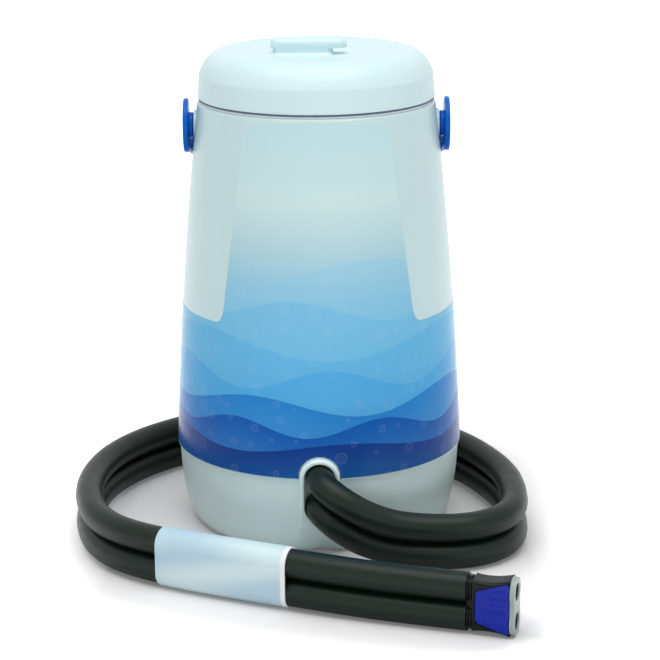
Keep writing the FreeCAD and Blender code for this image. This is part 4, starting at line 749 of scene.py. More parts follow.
def swept_band(path: Array, side: Array, up: Array, section: Array) -> Skin:
    """Carry a closed section along a path: path + section x * side + section y * up.

    Args:
        path: N by 3 points.
        side: N by 3 unit directions for the section's X.
        up: N by 3 unit directions for the section's Y.
        section: M by 2 closed outline.

    Returns:
        The skin, closed at both ends by the section's middle.
    """
    rows = (path[:, None] + section[None, :, :1] * side[:, None] + section[None, :, 1:] * up[:, None])
    first, last = rows[:1].mean(1, keepdims=True), rows[-1:].mean(1, keepdims=True)
    shape = (1, rows.shape[1], 3)
    points = np.concatenate([np.broadcast_to(first, shape), rows, np.broadcast_to(last, shape)])
    return Skin(points, wrap_columns=True)


# --- Placing pieces ---


@dataclass(frozen=True)
class Berth:
    """Where a piece belongs.

    Attributes:
        body: Moving body that it rides on.
        slot: Material slot of the record; not used.
        nodes: Nodes that it stands for.
    """

    body: str
    slot: str
    nodes: tuple[str, ...] = ()


def settle(piece: Thing, berth: Berth, finish: Finish) -> Thing:
    """Dress a piece and tie it to its body.

    Args:
        piece: Finished object at the origin.
        berth: Body, slot and nodes.
        finish: Its surface.

    Returns:
        The same piece.
    """
    piece.data.materials.clear()
    piece.data.materials.append(finish.material())
    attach(piece, berth.body)
    if berth.nodes:
        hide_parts(*berth.nodes)
    log.info("%s on %s, %s", piece.name, berth.body, finish.name)
    return piece


def dressed(name: str, skins: Sequence[Skin], berth: Berth, finish: Finish, sharp: float = 40.0) -> Thing:
    """Build a mesh from skins and settle it; see build_mesh and settle for the terms."""
    return settle(build_mesh(name, skins, sharp), berth, finish)


def smoothed_copy(node: str, berth: Berth, finish: Finish, angle: float = 32.0) -> Thing:
    """Copy a node's mesh, merge its loose triangles and shade it smooth up to an angle.

    Args:
        node: Node whose shape is right.
        berth: Body and slot; the node itself is what the copy stands for.
        finish: Its surface.
        angle: Edges sharper than this many degrees stay crisp.

    Returns:
        The new piece.
    """
    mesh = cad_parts[node].data.copy()
    work = bmesh.new()
    work.from_mesh(mesh)
    bmesh.ops.remove_doubles(work, verts=work.verts, dist=MERGE_COPY)
    work.to_mesh(mesh)
    work.free()
    if mesh.has_custom_normals:
        mesh.attributes.remove(mesh.attributes["custom_normal"])
    shade(mesh, angle)
    piece = placed(node + "_skin", mesh)
    even = piece.modifiers.new("even_normals", "WEIGHTED_NORMAL")
    even.keep_sharp = True
    return settle(piece, Berth(berth.body, berth.slot, (node,)), finish)


# --- Studio ---


@dataclass(frozen=True)
class Lamp:
    """One rectangular soft box of white light.

    Attributes:
        name: Lamp's name.
        place: Where it hangs, in metres.
        aim: Point that it faces.
        size: Width and height in metres.
        power: Watts.
    """

    name: str
    place: Place
    aim: Place
    size: tuple[float, float]
    power: float

    def hang(self) -> None:
        """Put the lamp in its place and face it to its aim."""
        data = bpy.data.lights.new(self.name, "AREA")
        data.shape = "RECTANGLE"
        data.size, data.size_y = self.size
        data.energy = self.power
        box = placed(self.name, data)
        away = np.array(self.place) - np.array(self.aim)
        tip = math.acos(away[2] / np.linalg.norm(away))
        box.rotation_euler = (tip, 0.0, math.atan2(away[1], away[0]) + math.pi / 2)
        box.location = self.place


@dataclass
class Studio:
    """White sweep, soft lamps and the camera.

    Attributes:
        eye: Camera's place in metres; it stands in front of the bucket.
        pitch: How far it looks down, in radians.
        yaw: How far it looks to the right, in radians.
        roll: How far it leans, in radians.
        lens: Focal length for a 36 mm sensor.
        floor: Half size of the floor, in metres.
        lamps: Broad boxes at the front corners, a low one in front and one overhead.
        room: Strength of the room's own light.
        card: Floor's colour in its deepest painted shadow and in the open.
        shadow_reach: How far from the object the floor's painted shadow reaches, in metres.
        shadow_edge: Openness of the floor at which it stops glowing fully, 1 where nothing is near.
        shadow_glow: Glow that is left in the deepest shadow.
        sides: Distance from the middle over which the glow comes back on either side, in metres.
    """

    eye: Place = (0.0, -1.527686, 0.555696)
    pitch: float = 0.26984833
    yaw: float = 0.0053939
    roll: float = 0.0071243
    lens: float = 122.71
    floor: float = 9.0
    lamps: tuple[Lamp, ...] = (
        Lamp("key", (-2.0, -1.8, 0.6), (0.0, 0.0, 0.10), (2.4, 1.6), 5.4),
        Lamp("fill", (2.1, -1.7, 0.6), (0.0, 0.0, 0.10), (2.4, 1.6), 6.6),
        Lamp("low", (0.35, -1.9, 0.10), (0.03, 0.0, 0.03), (1.4, 0.3), 3.2),
        Lamp("top", (0.0, -0.5, 2.5), (0.0, 0.0, 0.1), (2.4, 1.8), 46.0),
    )
    room: float = 0.32
    card: tuple[str, str] = ("b4b6b5", "f6f4f5")
    shadow_reach: float = 0.25
    shadow_edge: float = 0.84
    shadow_glow: float = 0.12
    sides: tuple[float, float] = (0.13, 0.22)

    def camera(self) -> None:
        """Set up the camera: turned up to level, tipped down by pitch, with a trace of roll and yaw."""
        data = bpy.data.cameras.new("view")
        data.sensor_width = 36.0
        data.lens = self.lens
        data.clip_end = 60.0
        seat = placed("view", data)
        aim = (Matrix.Rotation(-self.yaw, 4, "Z") @ Matrix.Rotation(math.pi / 2 - self.pitch, 4, "X")
               @ Matrix.Rotation(-self.roll, 4, "Z"))
        seat.matrix_world = Matrix.Translation(self.eye) @ aim
        bpy.context.scene.camera = seat

    def seen(self, tree: Tree) -> Socket:
        """Tell what is looked at from what gives light: 1 for camera, mirror and glass rays, else 0.

        Args:
            tree: Node tree to add to.

        Returns:
            The share's socket.
        """
        ray = add_node(tree, "ShaderNodeLightPath").outputs
        mirrored = add_node(tree, "ShaderNodeMath", {0: ray["Is Glossy Ray"], 1: ray["Is Transmission Ray"]},
                            operation="MAXIMUM").outputs[0]
        return add_node(tree, "ShaderNodeMath", {0: ray["Is Camera Ray"], 1: mirrored},
                        operation="MAXIMUM").outputs[0]

    def light(self) -> None:
        """Hang the lamps in a plain room that looks white and gives a little light."""
        for lamp in self.lamps:
            lamp.hang()
        world = bpy.data.worlds.new("room")
        bpy.context.scene.world = world
        world.use_nodes = True
        tree = world.node_tree
        tree.nodes.clear()
        strength = add_node(tree, "ShaderNodeMath", {0: self.seen(tree), 1: 1.0 - self.room, 2: self.room},
                            operation="MULTIPLY_ADD").outputs[0]
        room = add_node(tree, "ShaderNodeBackground", {"Strength": strength, "Color": linear("ffffff")})
        add_node(tree, "ShaderNodeOutputWorld", {"Surface": room.outputs[0]})

    def sweep(self) -> None:
        """Lay the floor: white card that glows where it is open; near the object, ambient occlusion darkens
        its colour and dims its glow, a painted shadow.
        """
        half = self.floor
        mesh = bpy.data.meshes.new("floor")
        corners = [(-half, -half, 0), (half, -half, 0), (half, half, 0), (-half, half, 0)]
        mesh.from_pydata(corners, [], [(0, 1, 2, 3)])
        card = placed("floor", mesh)
        paper = bpy.data.materials.new("white_card")
        paper.use_nodes = True
        tree = paper.node_tree
        tree.nodes.clear()
        # Painted shadow: ambient occlusion darkens the floor's colour and dims its glow near the object.
        near = add_node(tree, "ShaderNodeAmbientOcclusion", {"Distance": self.shadow_reach},
                        samples=16).outputs["AO"]
        painted_shadow_tone = add_node(tree, "ShaderNodeMix", {0: near, 6: linear(self.card[0]), 7: linear(self.card[1])},
                        data_type="RGBA").outputs[2]
        matt = add_node(tree, "ShaderNodeBsdfDiffuse", {"Color": painted_shadow_tone})
        open_floor = add_node(tree, "ShaderNodeMapRange",
                              {"Value": near, "From Min": self.shadow_edge, "From Max": 1.0,
                               "To Min": self.shadow_glow, "To Max": 1.0}).outputs[0]
        place = add_node(tree, "ShaderNodeTexCoord").outputs["Object"]
        across = add_node(tree, "ShaderNodeSeparateXYZ", {0: place}).outputs[0]
        side = add_node(tree, "ShaderNodeMath", {0: across}, operation="ABSOLUTE").outputs[0]
        beside = add_node(tree, "ShaderNodeMapRange", {"Value": side, "From Min": self.sides[0],
                                                       "From Max": self.sides[1]}).outputs[0]
        glow = add_node(tree, "ShaderNodeMath", {0: open_floor, 1: beside}, operation="MAXIMUM").outputs[0]
        lift = add_node(tree, "ShaderNodeMath", {0: self.seen(tree), 1: glow}, operation="MULTIPLY")
        shine = add_node(tree, "ShaderNodeEmission", {"Strength": lift.outputs[0], "Color": linear("ffffff")})
        both = add_node(tree, "ShaderNodeAddShader", {0: matt.outputs[0], 1: shine.outputs[0]})
        add_node(tree, "ShaderNodeOutputMaterial", {"Surface": both.outputs[0]})
        mesh.materials.append(paper)

    def build(self) -> None:
        """Set the scene's colour handling, then camera, lamps and floor."""
        bpy.context.scene.view_settings.view_transform = "Standard"
        self.camera()
        self.light()
        self.sweep()


# --- Hoses ---


@dataclass
class Hoses:
    """Two foam-covered hoses, one lying on the other, from the outlet round the machine to the coupling.

    Attributes:
        diameter: Outer diameter.
        length: Real length of each; not used.
        floor: Points shared by both routes, as X and Y.
        sleeved: Points inside the sleeve.
        ending: Points between the sleeve and the coupling.
        lift: How much the sleeve raises them.
        drops: Points of each hose from the outlet down to the floor.
        rest: Height of each hose's middle where it lies.
        names: Node that each hose stands for.
        made: The laid hoses.
    """

    diameter: float = 19.0
    length: float = 1045.0
    floor: tuple[tuple[float, float], ...] = (
        (80, -121), (104, -117), (123, -102.5), (133, -80), (135, -49), (133.5, -16), (124, 19), (105, 61),
        (71, 99), (20, 121), (-36, 124.5), (-89, 114), (-126, 81), (-151, 40), (-162, -8), (-160.5, -57),
        (-147, -104.5))
    sleeved: tuple[tuple[float, float], ...] = ((-110, -142.5), (-9, -189))
    ending: tuple[tuple[float, float], ...] = ((42, -208), (92, -223.6))
    lift: float = 1.2
    drops: dict[Level, tuple[tuple[float, float, float], ...]] = field(default_factory=lambda: {
        Level.HIGH: ((0, -94.5, 58.2), (0, -106.9, 58.2), (5.6, -118, 55), (15.2, -124.5, 49.4),
                     (30, -125, 40.3), (51, -123, 32)),
        Level.LOW: ((0, -94.5, 37.7), (0, -106.4, 37.7), (5, -115.2, 34.4), (13.4, -119.6, 28.6),
                    (28, -119.6, 19.2), (50, -119.5, 12))})
    rest: dict[Level, float] = field(default_factory=lambda: {Level.HIGH: 28.8, Level.LOW: 9.5})
    names: dict[Level, str] = field(default_factory=lambda: {Level.HIGH: "hose_high", Level.LOW: "hose_low"})
    made: dict[Level, Thing] = field(default_factory=dict)

    def route(self, level: Level) -> Array:
        """Control points of one hose: drop, floor, sleeve and ending, in mm.

        Args:
            level: Upper or lower hose.

        Returns:
            N by 3 points.
        """
        z = self.rest[level]
        lying = [(x, y, z) for x, y in self.floor]
        sleeved = [(x, y, z + self.lift) for x, y in self.sleeved]
        ending = [(x, y, z) for x, y in self.ending]
        return np.array([*self.drops[level], *lying, *sleeved, *ending], float)

    def lay(self, level: Level) -> None:
        """Lay one hose as a smooth spline on its control points.

        Args:
            level: Upper or lower hose.
        """
        points = self.route(level) * MM
        curve = bpy.data.curves.new(self.names[level] + "_skin", "CURVE")
        curve.dimensions = "3D"
        curve.resolution_u = 10
        curve.bevel_depth = self.diameter / 2 * MM
        curve.bevel_resolution = 9
        curve.use_fill_caps = True
        spline = curve.splines.new("NURBS")
        spline.points.add(len(points) - 1)
        spline.points.foreach_set("co", np.c_[points, np.ones(len(points))].ravel())
        spline.order_u = 3
        spline.use_endpoint_u = True
        piece = placed(self.names[level] + "_skin", curve)
        settle(piece, Berth("machine", "hose_foam", (self.names[level],)), HOSE_FOAM)
        self.made[level] = piece

    def centreline(self, level: Level) -> Array:
        """Points along the laid spline, read from it with its thickness off, in mm.

        Args:
            level: Upper or lower hose.

        Returns:
            N by 3 points.
        """
        piece = self.made[level]
        bare = piece.data.copy()
        bare.bevel_depth = 0.0
        carrier = bpy.data.objects.new("centreline", bare)
        mesh = bpy.data.meshes.new_from_object(carrier)
        points = np.zeros(len(mesh.vertices) * 3)
        mesh.vertices.foreach_get("co", points)
        bpy.data.objects.remove(carrier)
        bpy.data.meshes.remove(mesh)
        bpy.data.curves.remove(bare)
        return points.reshape(-1, 3) / MM

    def declare(self, level: Level) -> None:
        """Work out where the hose leaves the outlet, in metres; nothing is done with it.

        Args:
            level: Upper or lower hose.
        """
        exit_point = tuple(float(v) * MM for v in self.drops[level][0])

    def build(self) -> None:
        """Lay both hoses."""
        for level in Level:
            self.lay(level)


# --- Bucket and its wrap ---


@dataclass
class Bucket:
    """Outer wall of the bucket, its printed wrap and its gasket.

    The side is an arc of a large circle: r(z) = cx + sqrt(R^2 - (z - cz)^2).

    Attributes:
        centre: Radius and height of the side's circle centre.
        sweep: That circle's radius.
        foot: Height of the lower edge.
        top: Height of the mouth.
        wall: Wall thickness.
        mouth: Mouth's radius.
        lip: Depth under the mouth at which the outside starts to round over.
        pivot: Height of the bail's pivots.
        arch_half: Half width of the notch round the hose outlet.
        arch_top: Height of the notch's arch centre.
        film: Thickness of the wrap.
        under: Air between wall and wrap.
        band: Heights of the wrap's foot and of its upper edge beside the tongue.
        clear: How much wider than the notch the wrap is cut.
        notch_radius: Radius of the wall at the notch.
        middle_radius: Radius of the wall half-way up the wrap.
        columns: Even steps round the wall.
        crowded: Angles from the front between which the tongue's sides run up.
    """

    centre: tuple[float, float] = (-2927.83, -54.79)
    sweep: float = 3029.86
    foot: float = 56.0
    top: float = 298.0
    wall: float = 2.2
    mouth: float = 73.6
    lip: float = 3.4
    pivot: float = 280.0
    arch_half: float = 14.0
    arch_top: float = 58.2
    film: float = 0.22
    under: float = 0.03
    band: tuple[float, float] = (57.2, 157.4)
    clear: float = 0.3
    notch_radius: float = 99.0
    middle_radius: float = 93.0
    columns: int = 480
    crowded: tuple[float, float] = (0.44, 0.80)

    def radius(self, z: Array | float, inset: float = 0.0) -> Array:
        """Radius of the side at a height, this far inside its face."""
        return self.centre[0] + np.sqrt((self.sweep - inset) ** 2 - (np.asarray(z) - self.centre[1]) ** 2)

    def lower_edge(self, x: Array, front: Array, base: float, gap: float) -> Array:
        """Height of an edge that steps over the outlet's arch: arch_top + sqrt(half^2 - x^2) inside it.

        Args:
            x: Distance from the middle.
            front: Where the wall faces forward.
            base: Height of the edge away from the arch.
            gap: How much wider than the notch the edge runs.

        Returns:
            Height at each x.
        """
        half = self.arch_half + gap
        arch = self.arch_top + np.sqrt(np.clip(half**2 - x**2, 0, None))
        return np.where(front & (np.abs(x) < half), np.maximum(arch, base), base)

    def turns(self) -> Array:
        """Angles round the axis from -pi to pi with 0 at the front, crowded where edges run up the wrap.

        Returns:
            Angles in radians, sorted.
        """
        even = np.linspace(-np.pi, np.pi, self.columns)
        notch = np.arcsin(np.linspace(-14.4, 14.4, 61) / 100.0)
        edge = np.linspace(*self.crowded, 120)
        return np.unique(np.concatenate([even, notch, edge, -edge]))

    def wall_skin(self) -> Skin:
        """Closed wall: up the outside, over the rounded mouth and down the inside.

        Each column takes its own lower end, so the notch is part of the grid. Rows above it are shared.

        Returns:
            The closed skin.
        """
        turn = self.turns()[:, None]
        rows = np.linspace(0, 1, 44)[None]
        low = self.lower_edge(self.notch_radius * np.sin(turn), np.cos(turn) > 0, self.foot, 0.0)
        outer_z = low + (self.top - self.lip - low) * rows
        outer = np.stack([self.radius(outer_z) + 0 * turn, outer_z], axis=-1)
        edge_r = float(self.radius(self.top - self.lip))
        rim = rounded([(edge_r, self.top - self.lip), (edge_r - 0.4, self.top), (self.mouth, self.top),
                       (self.mouth, self.top - 2.4), (edge_r - self.wall, self.top - 2.6)],
                      [0, 2.8, 0.5, 0.4, 0], 8)
        rim = np.broadcast_to(rim[None], (len(turn), *rim.shape))
        inner_z = low + (self.top - 4.0 - low) * rows[:, ::-1]
        inner = np.stack([self.radius(inner_z, self.wall) + 0 * turn, inner_z], axis=-1)
        return Skin(front_round(np.concatenate([outer, rim, inner], axis=1), turn), wrap_columns=True)

    def pivot_skins(self) -> list[Skin]:
        """Flat round seats for the bail, standing out of the side.

        Returns:
            One skin per side.
        """
        profile = rounded([(0, 78.0), (10.5, 78.0), (10.5, 84.2), (5.05, 84.2), (5.05, 79.0), (0, 79.0)],
                          [0, 0, 0.6, 0.2, 0, 0], 5)
        return on_both_sides(spun(profile, 72, closed=False), self.pivot)

    def tongue_top(self, x: Array) -> Array:
        """Upper edge of the wrap at the front, as a height for each X.

        Across the tongue the edge is a shallow arch, down its sides nearly straight, and arcs ease it into the
        band's level edge.

        Args:
            x: Distance from the middle.

        Returns:
            Height at each x.
        """
        side = rounded([(0, 294.4), (20, 293.8), (38, 292.2), (47.6, 290.6), (63.6, 165.0), (66.5, 157.5),
                        (90, self.band[1])], [0, 60, 30, 6.5, 30, 5.0, 0], 14)
        order = np.argsort(side[:, 0], kind="stable")
        return np.interp(np.abs(x), side[order, 0], side[order, 1])

    def wrap_skin(self) -> Skin:
        """Film over the wall: each column runs from the band's foot to its top edge, with a back layer.

        Returns:
            The closed skin with its print map.
        """
        turn = self.turns()[:, None]
        foot, shoulder = self.band
        ahead = np.cos(turn) > 0
        low = self.lower_edge((self.notch_radius + 0.5) * np.sin(turn), ahead, foot, self.clear)
        span = self.middle_radius * np.sin(turn)
        high = np.where(ahead, self.tongue_top(span), shoulder)
        for _ in range(6):  # the edge's height and its distance from the middle depend on each other
            span = self.radius(high) * np.sin(turn)
            high = np.where(ahead, self.tongue_top(span), shoulder)
        z = low + (high - low) * np.linspace(0, 1, 54)[None]
        outside, inside = (np.stack([self.radius(z, -out), z], axis=-1)
                           for out in (self.under + self.film, self.under))
        loop = np.concatenate([outside, inside[:, ::-1]], axis=1)
        flat = np.stack([turn * PRINT_RADIUS + 0 * loop[..., 1], loop[..., 1]], axis=-1) * MM
        return Skin(front_round(loop, turn), wrap_columns=True, print_map=flat)

    def gasket_skin(self) -> Skin:
        """Soft ring between liner and lid, slightly bulged.

        Returns:
            The closed skin.
        """
        section = rounded([(76.0, 298.9), (80.6, 298.9), (80.9, 299.6), (80.6, 300.25), (76.0, 300.25),
                           (76.0, 298.9)], [0, 0.3, 0.6, 0.3, 0, 0], 4)
        return spun(section[:-1], 240)

    def build(self) -> None:
        """Make wall, seats, wrap and gasket."""
        dressed("bucket_wall", [self.wall_skin(), *self.pivot_skins()],
                Berth("machine", "white_shell", ("bucket_shell",)), WHITE_ABS)
        dressed("bucket_wrap", [self.wrap_skin()],
                Berth("machine", "printed_film", ("label_wrap",)), WRAP_FILM, 50)
        dressed("mouth_gasket", [self.gasket_skin()],
                Berth("machine", "gasket_rubber", ("rim_gasket",)), GASKET_RUBBER)


# --- Lid ---


@dataclass
class Lid:
    """Boxy cover with a wide, shallow finger dish, and a grip bar on a stem.

    Attributes:
        foot: Height of the lower edge.
        radius: Skirt's radius at its foot.
        draft: How far the skirt draws in up to the shoulder.
        shoulder: Height of the crease where the dome starts.
        lean: Degrees that the dome's face leans at the crease.
        flattest: Degrees that it leans at the crown.
        late: Power of the share along the dome, higher for a squarer edge.
        crown: Radius where the dome has levelled off.
        top: Height of the crown.
        dish: Radius of the dish's rim.
        floor: Height of the dish's floor.
        slope: Radius where the dish's side turns towards its floor.
        flat: Radius of that floor.
        wall: Wall thickness.
        grip: Length, width, underside and top of the bar.
        stem: Length and width of the stem.
        places: Middles of bar and stem along X.
    """

    foot: float = 300.35
    radius: float = 81.4
    draft: float = 1.3
    shoulder: float = 316.4
    lean: float = 25.0
    flattest: float = 88.0
    late: float = 1.5
    crown: float = 64.5
    top: float = 331.65
    dish: float = 60.0
    floor: float = 328.75
    slope: float = 51.0
    flat: float = 30.0
    wall: float = 2.2
    grip: tuple[float, float, float, float] = (52.0, 13.3, 333.15, 340.15)
    stem: tuple[float, float] = (41.0, 13.0)
    places: tuple[float, float] = (-5.0, -9.0)

    def dome(self, inset: float) -> Array:
        """Curve from crease to crown whose face leans by lean + (flattest - lean) s^late degrees at share s.

        A step at a lean of a goes in by sin a and up by cos a. Both sums are scaled to end at the crown.

        Args:
            inset: How far inside the face the curve runs.

        Returns:
            N by 2 of radius and height.
        """
        share = np.linspace(0, 1, 65)
        lean = np.radians(self.lean + (self.flattest - self.lean) * share**self.late)
        middle = (lean[1:] + lean[:-1]) / 2
        gone = np.cumsum(np.concatenate([np.zeros((1, 2)), np.c_[np.sin(middle), np.cos(middle)]]), axis=0)
        gone /= gone[-1]
        edge = self.radius - self.draft
        start, end = np.array([edge, self.shoulder]), np.array([self.crown, self.top])
        return start + (end - start) * gone - inset * np.c_[np.cos(lean), np.sin(lean)]

    def cover_skin(self) -> Skin:
        """Profile up the skirt, over the dome, into the dish, and back along the inside.

        Returns:
            The closed skin.
        """
        outer = np.concatenate([
            rounded([(self.radius - self.wall, self.foot), (self.radius, self.foot),
                     (self.radius - self.draft, self.shoulder)], [0, 0.7, 0], 6),
            self.dome(0.0)[1:-1],
            rounded([(self.crown, self.top), (self.dish, self.top), (self.slope, self.floor + 1.2),
                     (self.flat, self.floor), (0.0, self.floor)], [0, 1.6, 60.0, 120.0, 0], 10)])
        inner = np.concatenate([
            np.array([[0.0, self.floor - self.wall], [self.flat, self.floor - self.wall],
                      [self.slope, self.floor - 1.0], [self.dish, self.top - self.wall]]),
            self.dome(self.wall)[::-1]])
        return spun(np.concatenate([spaced(outer, 3.0), inner]), 240)

    def grip_skins(self) -> list[Skin]:
        """Bar with eased edges all round, and the stem under it with a small foot fillet.

        Returns:
            Bar and stem.
        """
        length, width, under, top = self.grip
        edge = rounded([(2.0, under), (0, under), (0, top), (5.2, top)], [0, 0.5, 4.8, 0], 10)
        bar = stacked(plan_outline(length, width, 5.6, 12), edge)
        foot = rounded([(-1.6, self.floor - 0.3), (-1.5, self.floor + 0.05), (0, self.floor + 1.4),
                        (0, under + 0.6)], [0, 0.1, 1.5, 0], 5)
        stem = stacked(plan_outline(self.stem[0], self.stem[1], 5.2, 10), foot)
        return [turned_about(skin, x * X_WAY, X_WAY, Y_WAY, Z_WAY)
                for x, skin in zip(self.places, (bar, stem))]

    def build(self) -> None:
        """Make cover and grip, and smooth the pan under them."""
        dressed("lid_dome", [self.cover_skin()], Berth("lid", "white_shell", ("lid_cover",)), LID_ABS, 60)
        dressed("lid_grip_bar", self.grip_skins(), Berth("lid", "white_shell", ("lid_grip",)), LID_ABS, 60)
        smoothed_copy("lid_pan", Berth("lid", "tank_plastic"), LINER_PP)


# --- Bail ---


@dataclass
class Bail:
    """Blue strap handle on round ears, hanging at the back.

    The strap's middle line is a three-centred arch in its own plane: straight arms, a corner arc on each side
    and a wide crown arc tangent to both. Along is the distance from the pivots.

    Attributes:
        pivot: Height of the pivots.
        half: Half width to the middle of the strap.
        arm: Straight part of each arm.
        corner: Corner arc's radius.
        reach: Pivots to the crown's middle line.
        width: Strap's width.
        thick: Strap's thickness.
        ear: Ear's radius.
        start: Distance from the pivots at which the strap comes out of its ears.
        proud: How much thicker an ear is than the strap, on each face.
        hang: Degrees that it hangs past the horizontal.
    """

    pivot: float = 280.0
    half: float = 89.4
    arm: float = 28.0
    corner: float = 56.5
    reach: float = 102.5
    width: float = 22.5
    thick: float = 3.0
    ear: float = 18.6
    start: float = 14.6
    proud: float = 0.2
    hang: float = 22.5

    def arch(self) -> tuple[Array, Array]:
        """Middle line of the strap and its outward directions, in the arch's plane.

        Returns:
            Points and directions, N by 2 each.
        """
        shoulder = np.array([self.half - self.corner, self.arm])
        rise = self.reach - self.arm
        crown_r = (shoulder[0] ** 2 + rise**2 - self.corner**2) / (2 * (rise - self.corner))
        centre = np.array([0.0, self.reach - crown_r])
        meet = math.atan2(shoulder[1] - centre[1], shoulder[0] - centre[0])
        turn = np.linspace(0, meet, 26)
        bend = shoulder + self.corner * np.stack([np.cos(turn), np.sin(turn)], axis=1)
        wide = np.linspace(meet, np.pi / 2, 26)[1:]
        crown = centre + crown_r * np.stack([np.cos(wide), np.sin(wide)], axis=1)
        arm = np.stack([np.full(8, self.half), np.linspace(self.start, self.arm, 9)[:-1]], axis=1)
        half = np.concatenate([arm, bend, crown])
        swing = np.concatenate([np.zeros(8), turn, wide])
        out = np.stack([np.cos(swing), np.sin(swing)], axis=1)
        flip = np.array([-1.0, 1.0])
        return np.concatenate([half, half[-2::-1] * flip]), np.concatenate([out, out[-2::-1] * flip])

    def world(self, skin: Skin) -> Skin:
        """Swing a skin from the arch's frame (X across, Y along, Z through) to where the bail hangs.

        Args:
            skin: Skin in the arch's frame.

        Returns:
            The carried skin.
        """
        tilt = math.radians(self.hang)
        along = np.array([0.0, math.cos(tilt), -math.sin(tilt)])
        through = np.array([0.0, math.sin(tilt), math.cos(tilt)])
        return turned_about(skin, self.pivot * Z_WAY, X_WAY, along, through)

    def strap_skin(self) -> Skin:
        """Strap with rounded edges, swept along the arch.

        Returns:
            The closed skin.
        """
        line, out = self.arch()
        flat = np.zeros(len(line))
        up = np.tile(Z_WAY, (len(line), 1))
        section = plan_outline(self.thick, self.width, 1.1, 5)
        return swept_band(np.c_[line, flat], np.c_[out, flat], up, section)

    def ear_skins(self) -> list[Skin]:
        """Round ears with a raised rim, the hubs that space them off the bucket, and the pivot pins.

        Returns:
            One skin per side.
        """
        outer = self.half + self.thick / 2 + self.proud
        inner = self.half - self.thick / 2 - self.proud
        profile = rounded([(0, 77.6), (4.6, 77.6), (5.0, 78.2), (5.0, 84.6), (9.0, 84.6), (9.0, inner),
                           (self.ear, inner), (self.ear, outer), (13.5, outer), (12.7, outer - 0.5),
                           (6.0, outer - 0.5), (5.0, outer + 0.4), (0, outer + 0.4)],
                          [0, 0.3, 0.2, 0, 0.5, 0.8, 0.9, 0.9, 0.4, 0.4, 0.5, 0.5, 0], 5)
        return on_both_sides(spun(profile, 96, closed=False), 0.0)

    def build(self) -> None:
        """Make the whole bail as one moulding."""
        skins = [self.world(skin) for skin in (self.strap_skin(), *self.ear_skins())]
        dressed("bail_strap", skins, Berth("bail", "blue_handle", ("bail_handle",)), HANDLE_PP, 45)


# --- Sleeve and coupling ---


@dataclass
class Sleeve:
    """Printed sleeve round both hoses.

    Attributes:
        start: Point near which it starts.
        end: Point near which it ends.
        radius: Inner radius round each hose.
        wall: Wall thickness.
    """

    start: tuple[float, float] = (-102.0, -143.0)
    end: tuple[float, float] = (-18.0, -185.5)
    radius: float = 9.6
    wall: float = 1.0

    def middle(self, hoses: Hoses) -> tuple[Array, float]:
        """Line half-way between the two hoses over the sleeve's length, and half their spacing.

        Args:
            hoses: The laid hoses.

        Returns:
            Points along the line in mm, and the half spacing.
        """
        low = hoses.centreline(Level.LOW)
        high = hoses.centreline(Level.HIGH)
        first, last = (int(np.linalg.norm(low[:, :2] - np.array(place), axis=1).argmin())
                       for place in (self.start, self.end))
        line = low[first : last + 1]
        reach = run_lengths(line)
        line = read_off(np.linspace(0, reach[-1], 60), reach, line)
        over = np.linalg.norm(high[:, None, :2] - line[None, :, :2], axis=2).argmin(0)
        half = float(np.mean(high[over, 2] - line[:, 2])) / 2
        return line + half * Z_WAY, half

    def skin(self, hoses: Hoses) -> Skin:
        """Stadium ring along the line: outside one way, round both ends, inside the other way.

        The section at angle t is radius * (cos t, sin t), moved up by the half spacing where sin t > 0 and
        down by it where sin t < 0, so the straight sides join the two half circles.

        Args:
            hoses: The laid hoses.

        Returns:
            The closed skin with its print map.
        """
        line, half = self.middle(hoses)
        ahead = np.gradient(line, axis=0)
        ahead[:, 2] = 0
        ahead /= np.linalg.norm(ahead, axis=1, keepdims=True)
        side = np.stack([ahead[:, 1], -ahead[:, 0], 0 * ahead[:, 0]], axis=1)
        turn = np.linspace(0, 2 * np.pi, 97)[:-1]
        turn = np.sort(np.concatenate([turn, [1e-4, np.pi - 1e-4, np.pi + 1e-4, 2 * np.pi - 1e-4]]))
        lift = np.where(np.sin(turn) >= 0, 1.0, -1.0) * half
        outer, inner, end = self.radius + self.wall, self.radius, len(line) - 1.0
        loop = rounded([(0, inner), (0, outer), (end, outer), (end, inner)], [0, 0.4, 0.4, 0], 4)
        index = np.arange(len(line), dtype=float)
        steps = np.unique(np.concatenate([index, loop[:, 0]]))
        outside = np.c_[steps, np.interp(steps, loop[1:-1, 0], loop[1:-1, 1])]
        walk = np.concatenate([[[0.0, inner]], outside, np.c_[index[:0:-1], np.full(len(line) - 1, inner)]])
        centre, across = (read_off(walk[:, 0], index, values) for values in (line, side))
        points = centre[:, None] + across[:, None] * (walk[:, 1:] * np.cos(turn)[None])[..., None]
        points[..., 2] += walk[:, 1:] * np.sin(turn)[None] + lift[None]
        reach = np.linalg.norm(line[-1] - line[0]) / end
        flat = np.stack(np.broadcast_arrays(walk[:, :1] * reach, turn[None] * outer), axis=-1) * MM
        return Skin(points, wrap_rows=True, wrap_columns=True, print_map=flat)

    def build(self, hoses: Hoses) -> Thing:
        """Make the sleeve round the laid hoses."""
        return dressed("hose_sleeve_skin", [self.skin(hoses)],
                       Berth("machine", "sleeve_film", ("hose_sleeve",)), SLEEVE_FILM, 50)


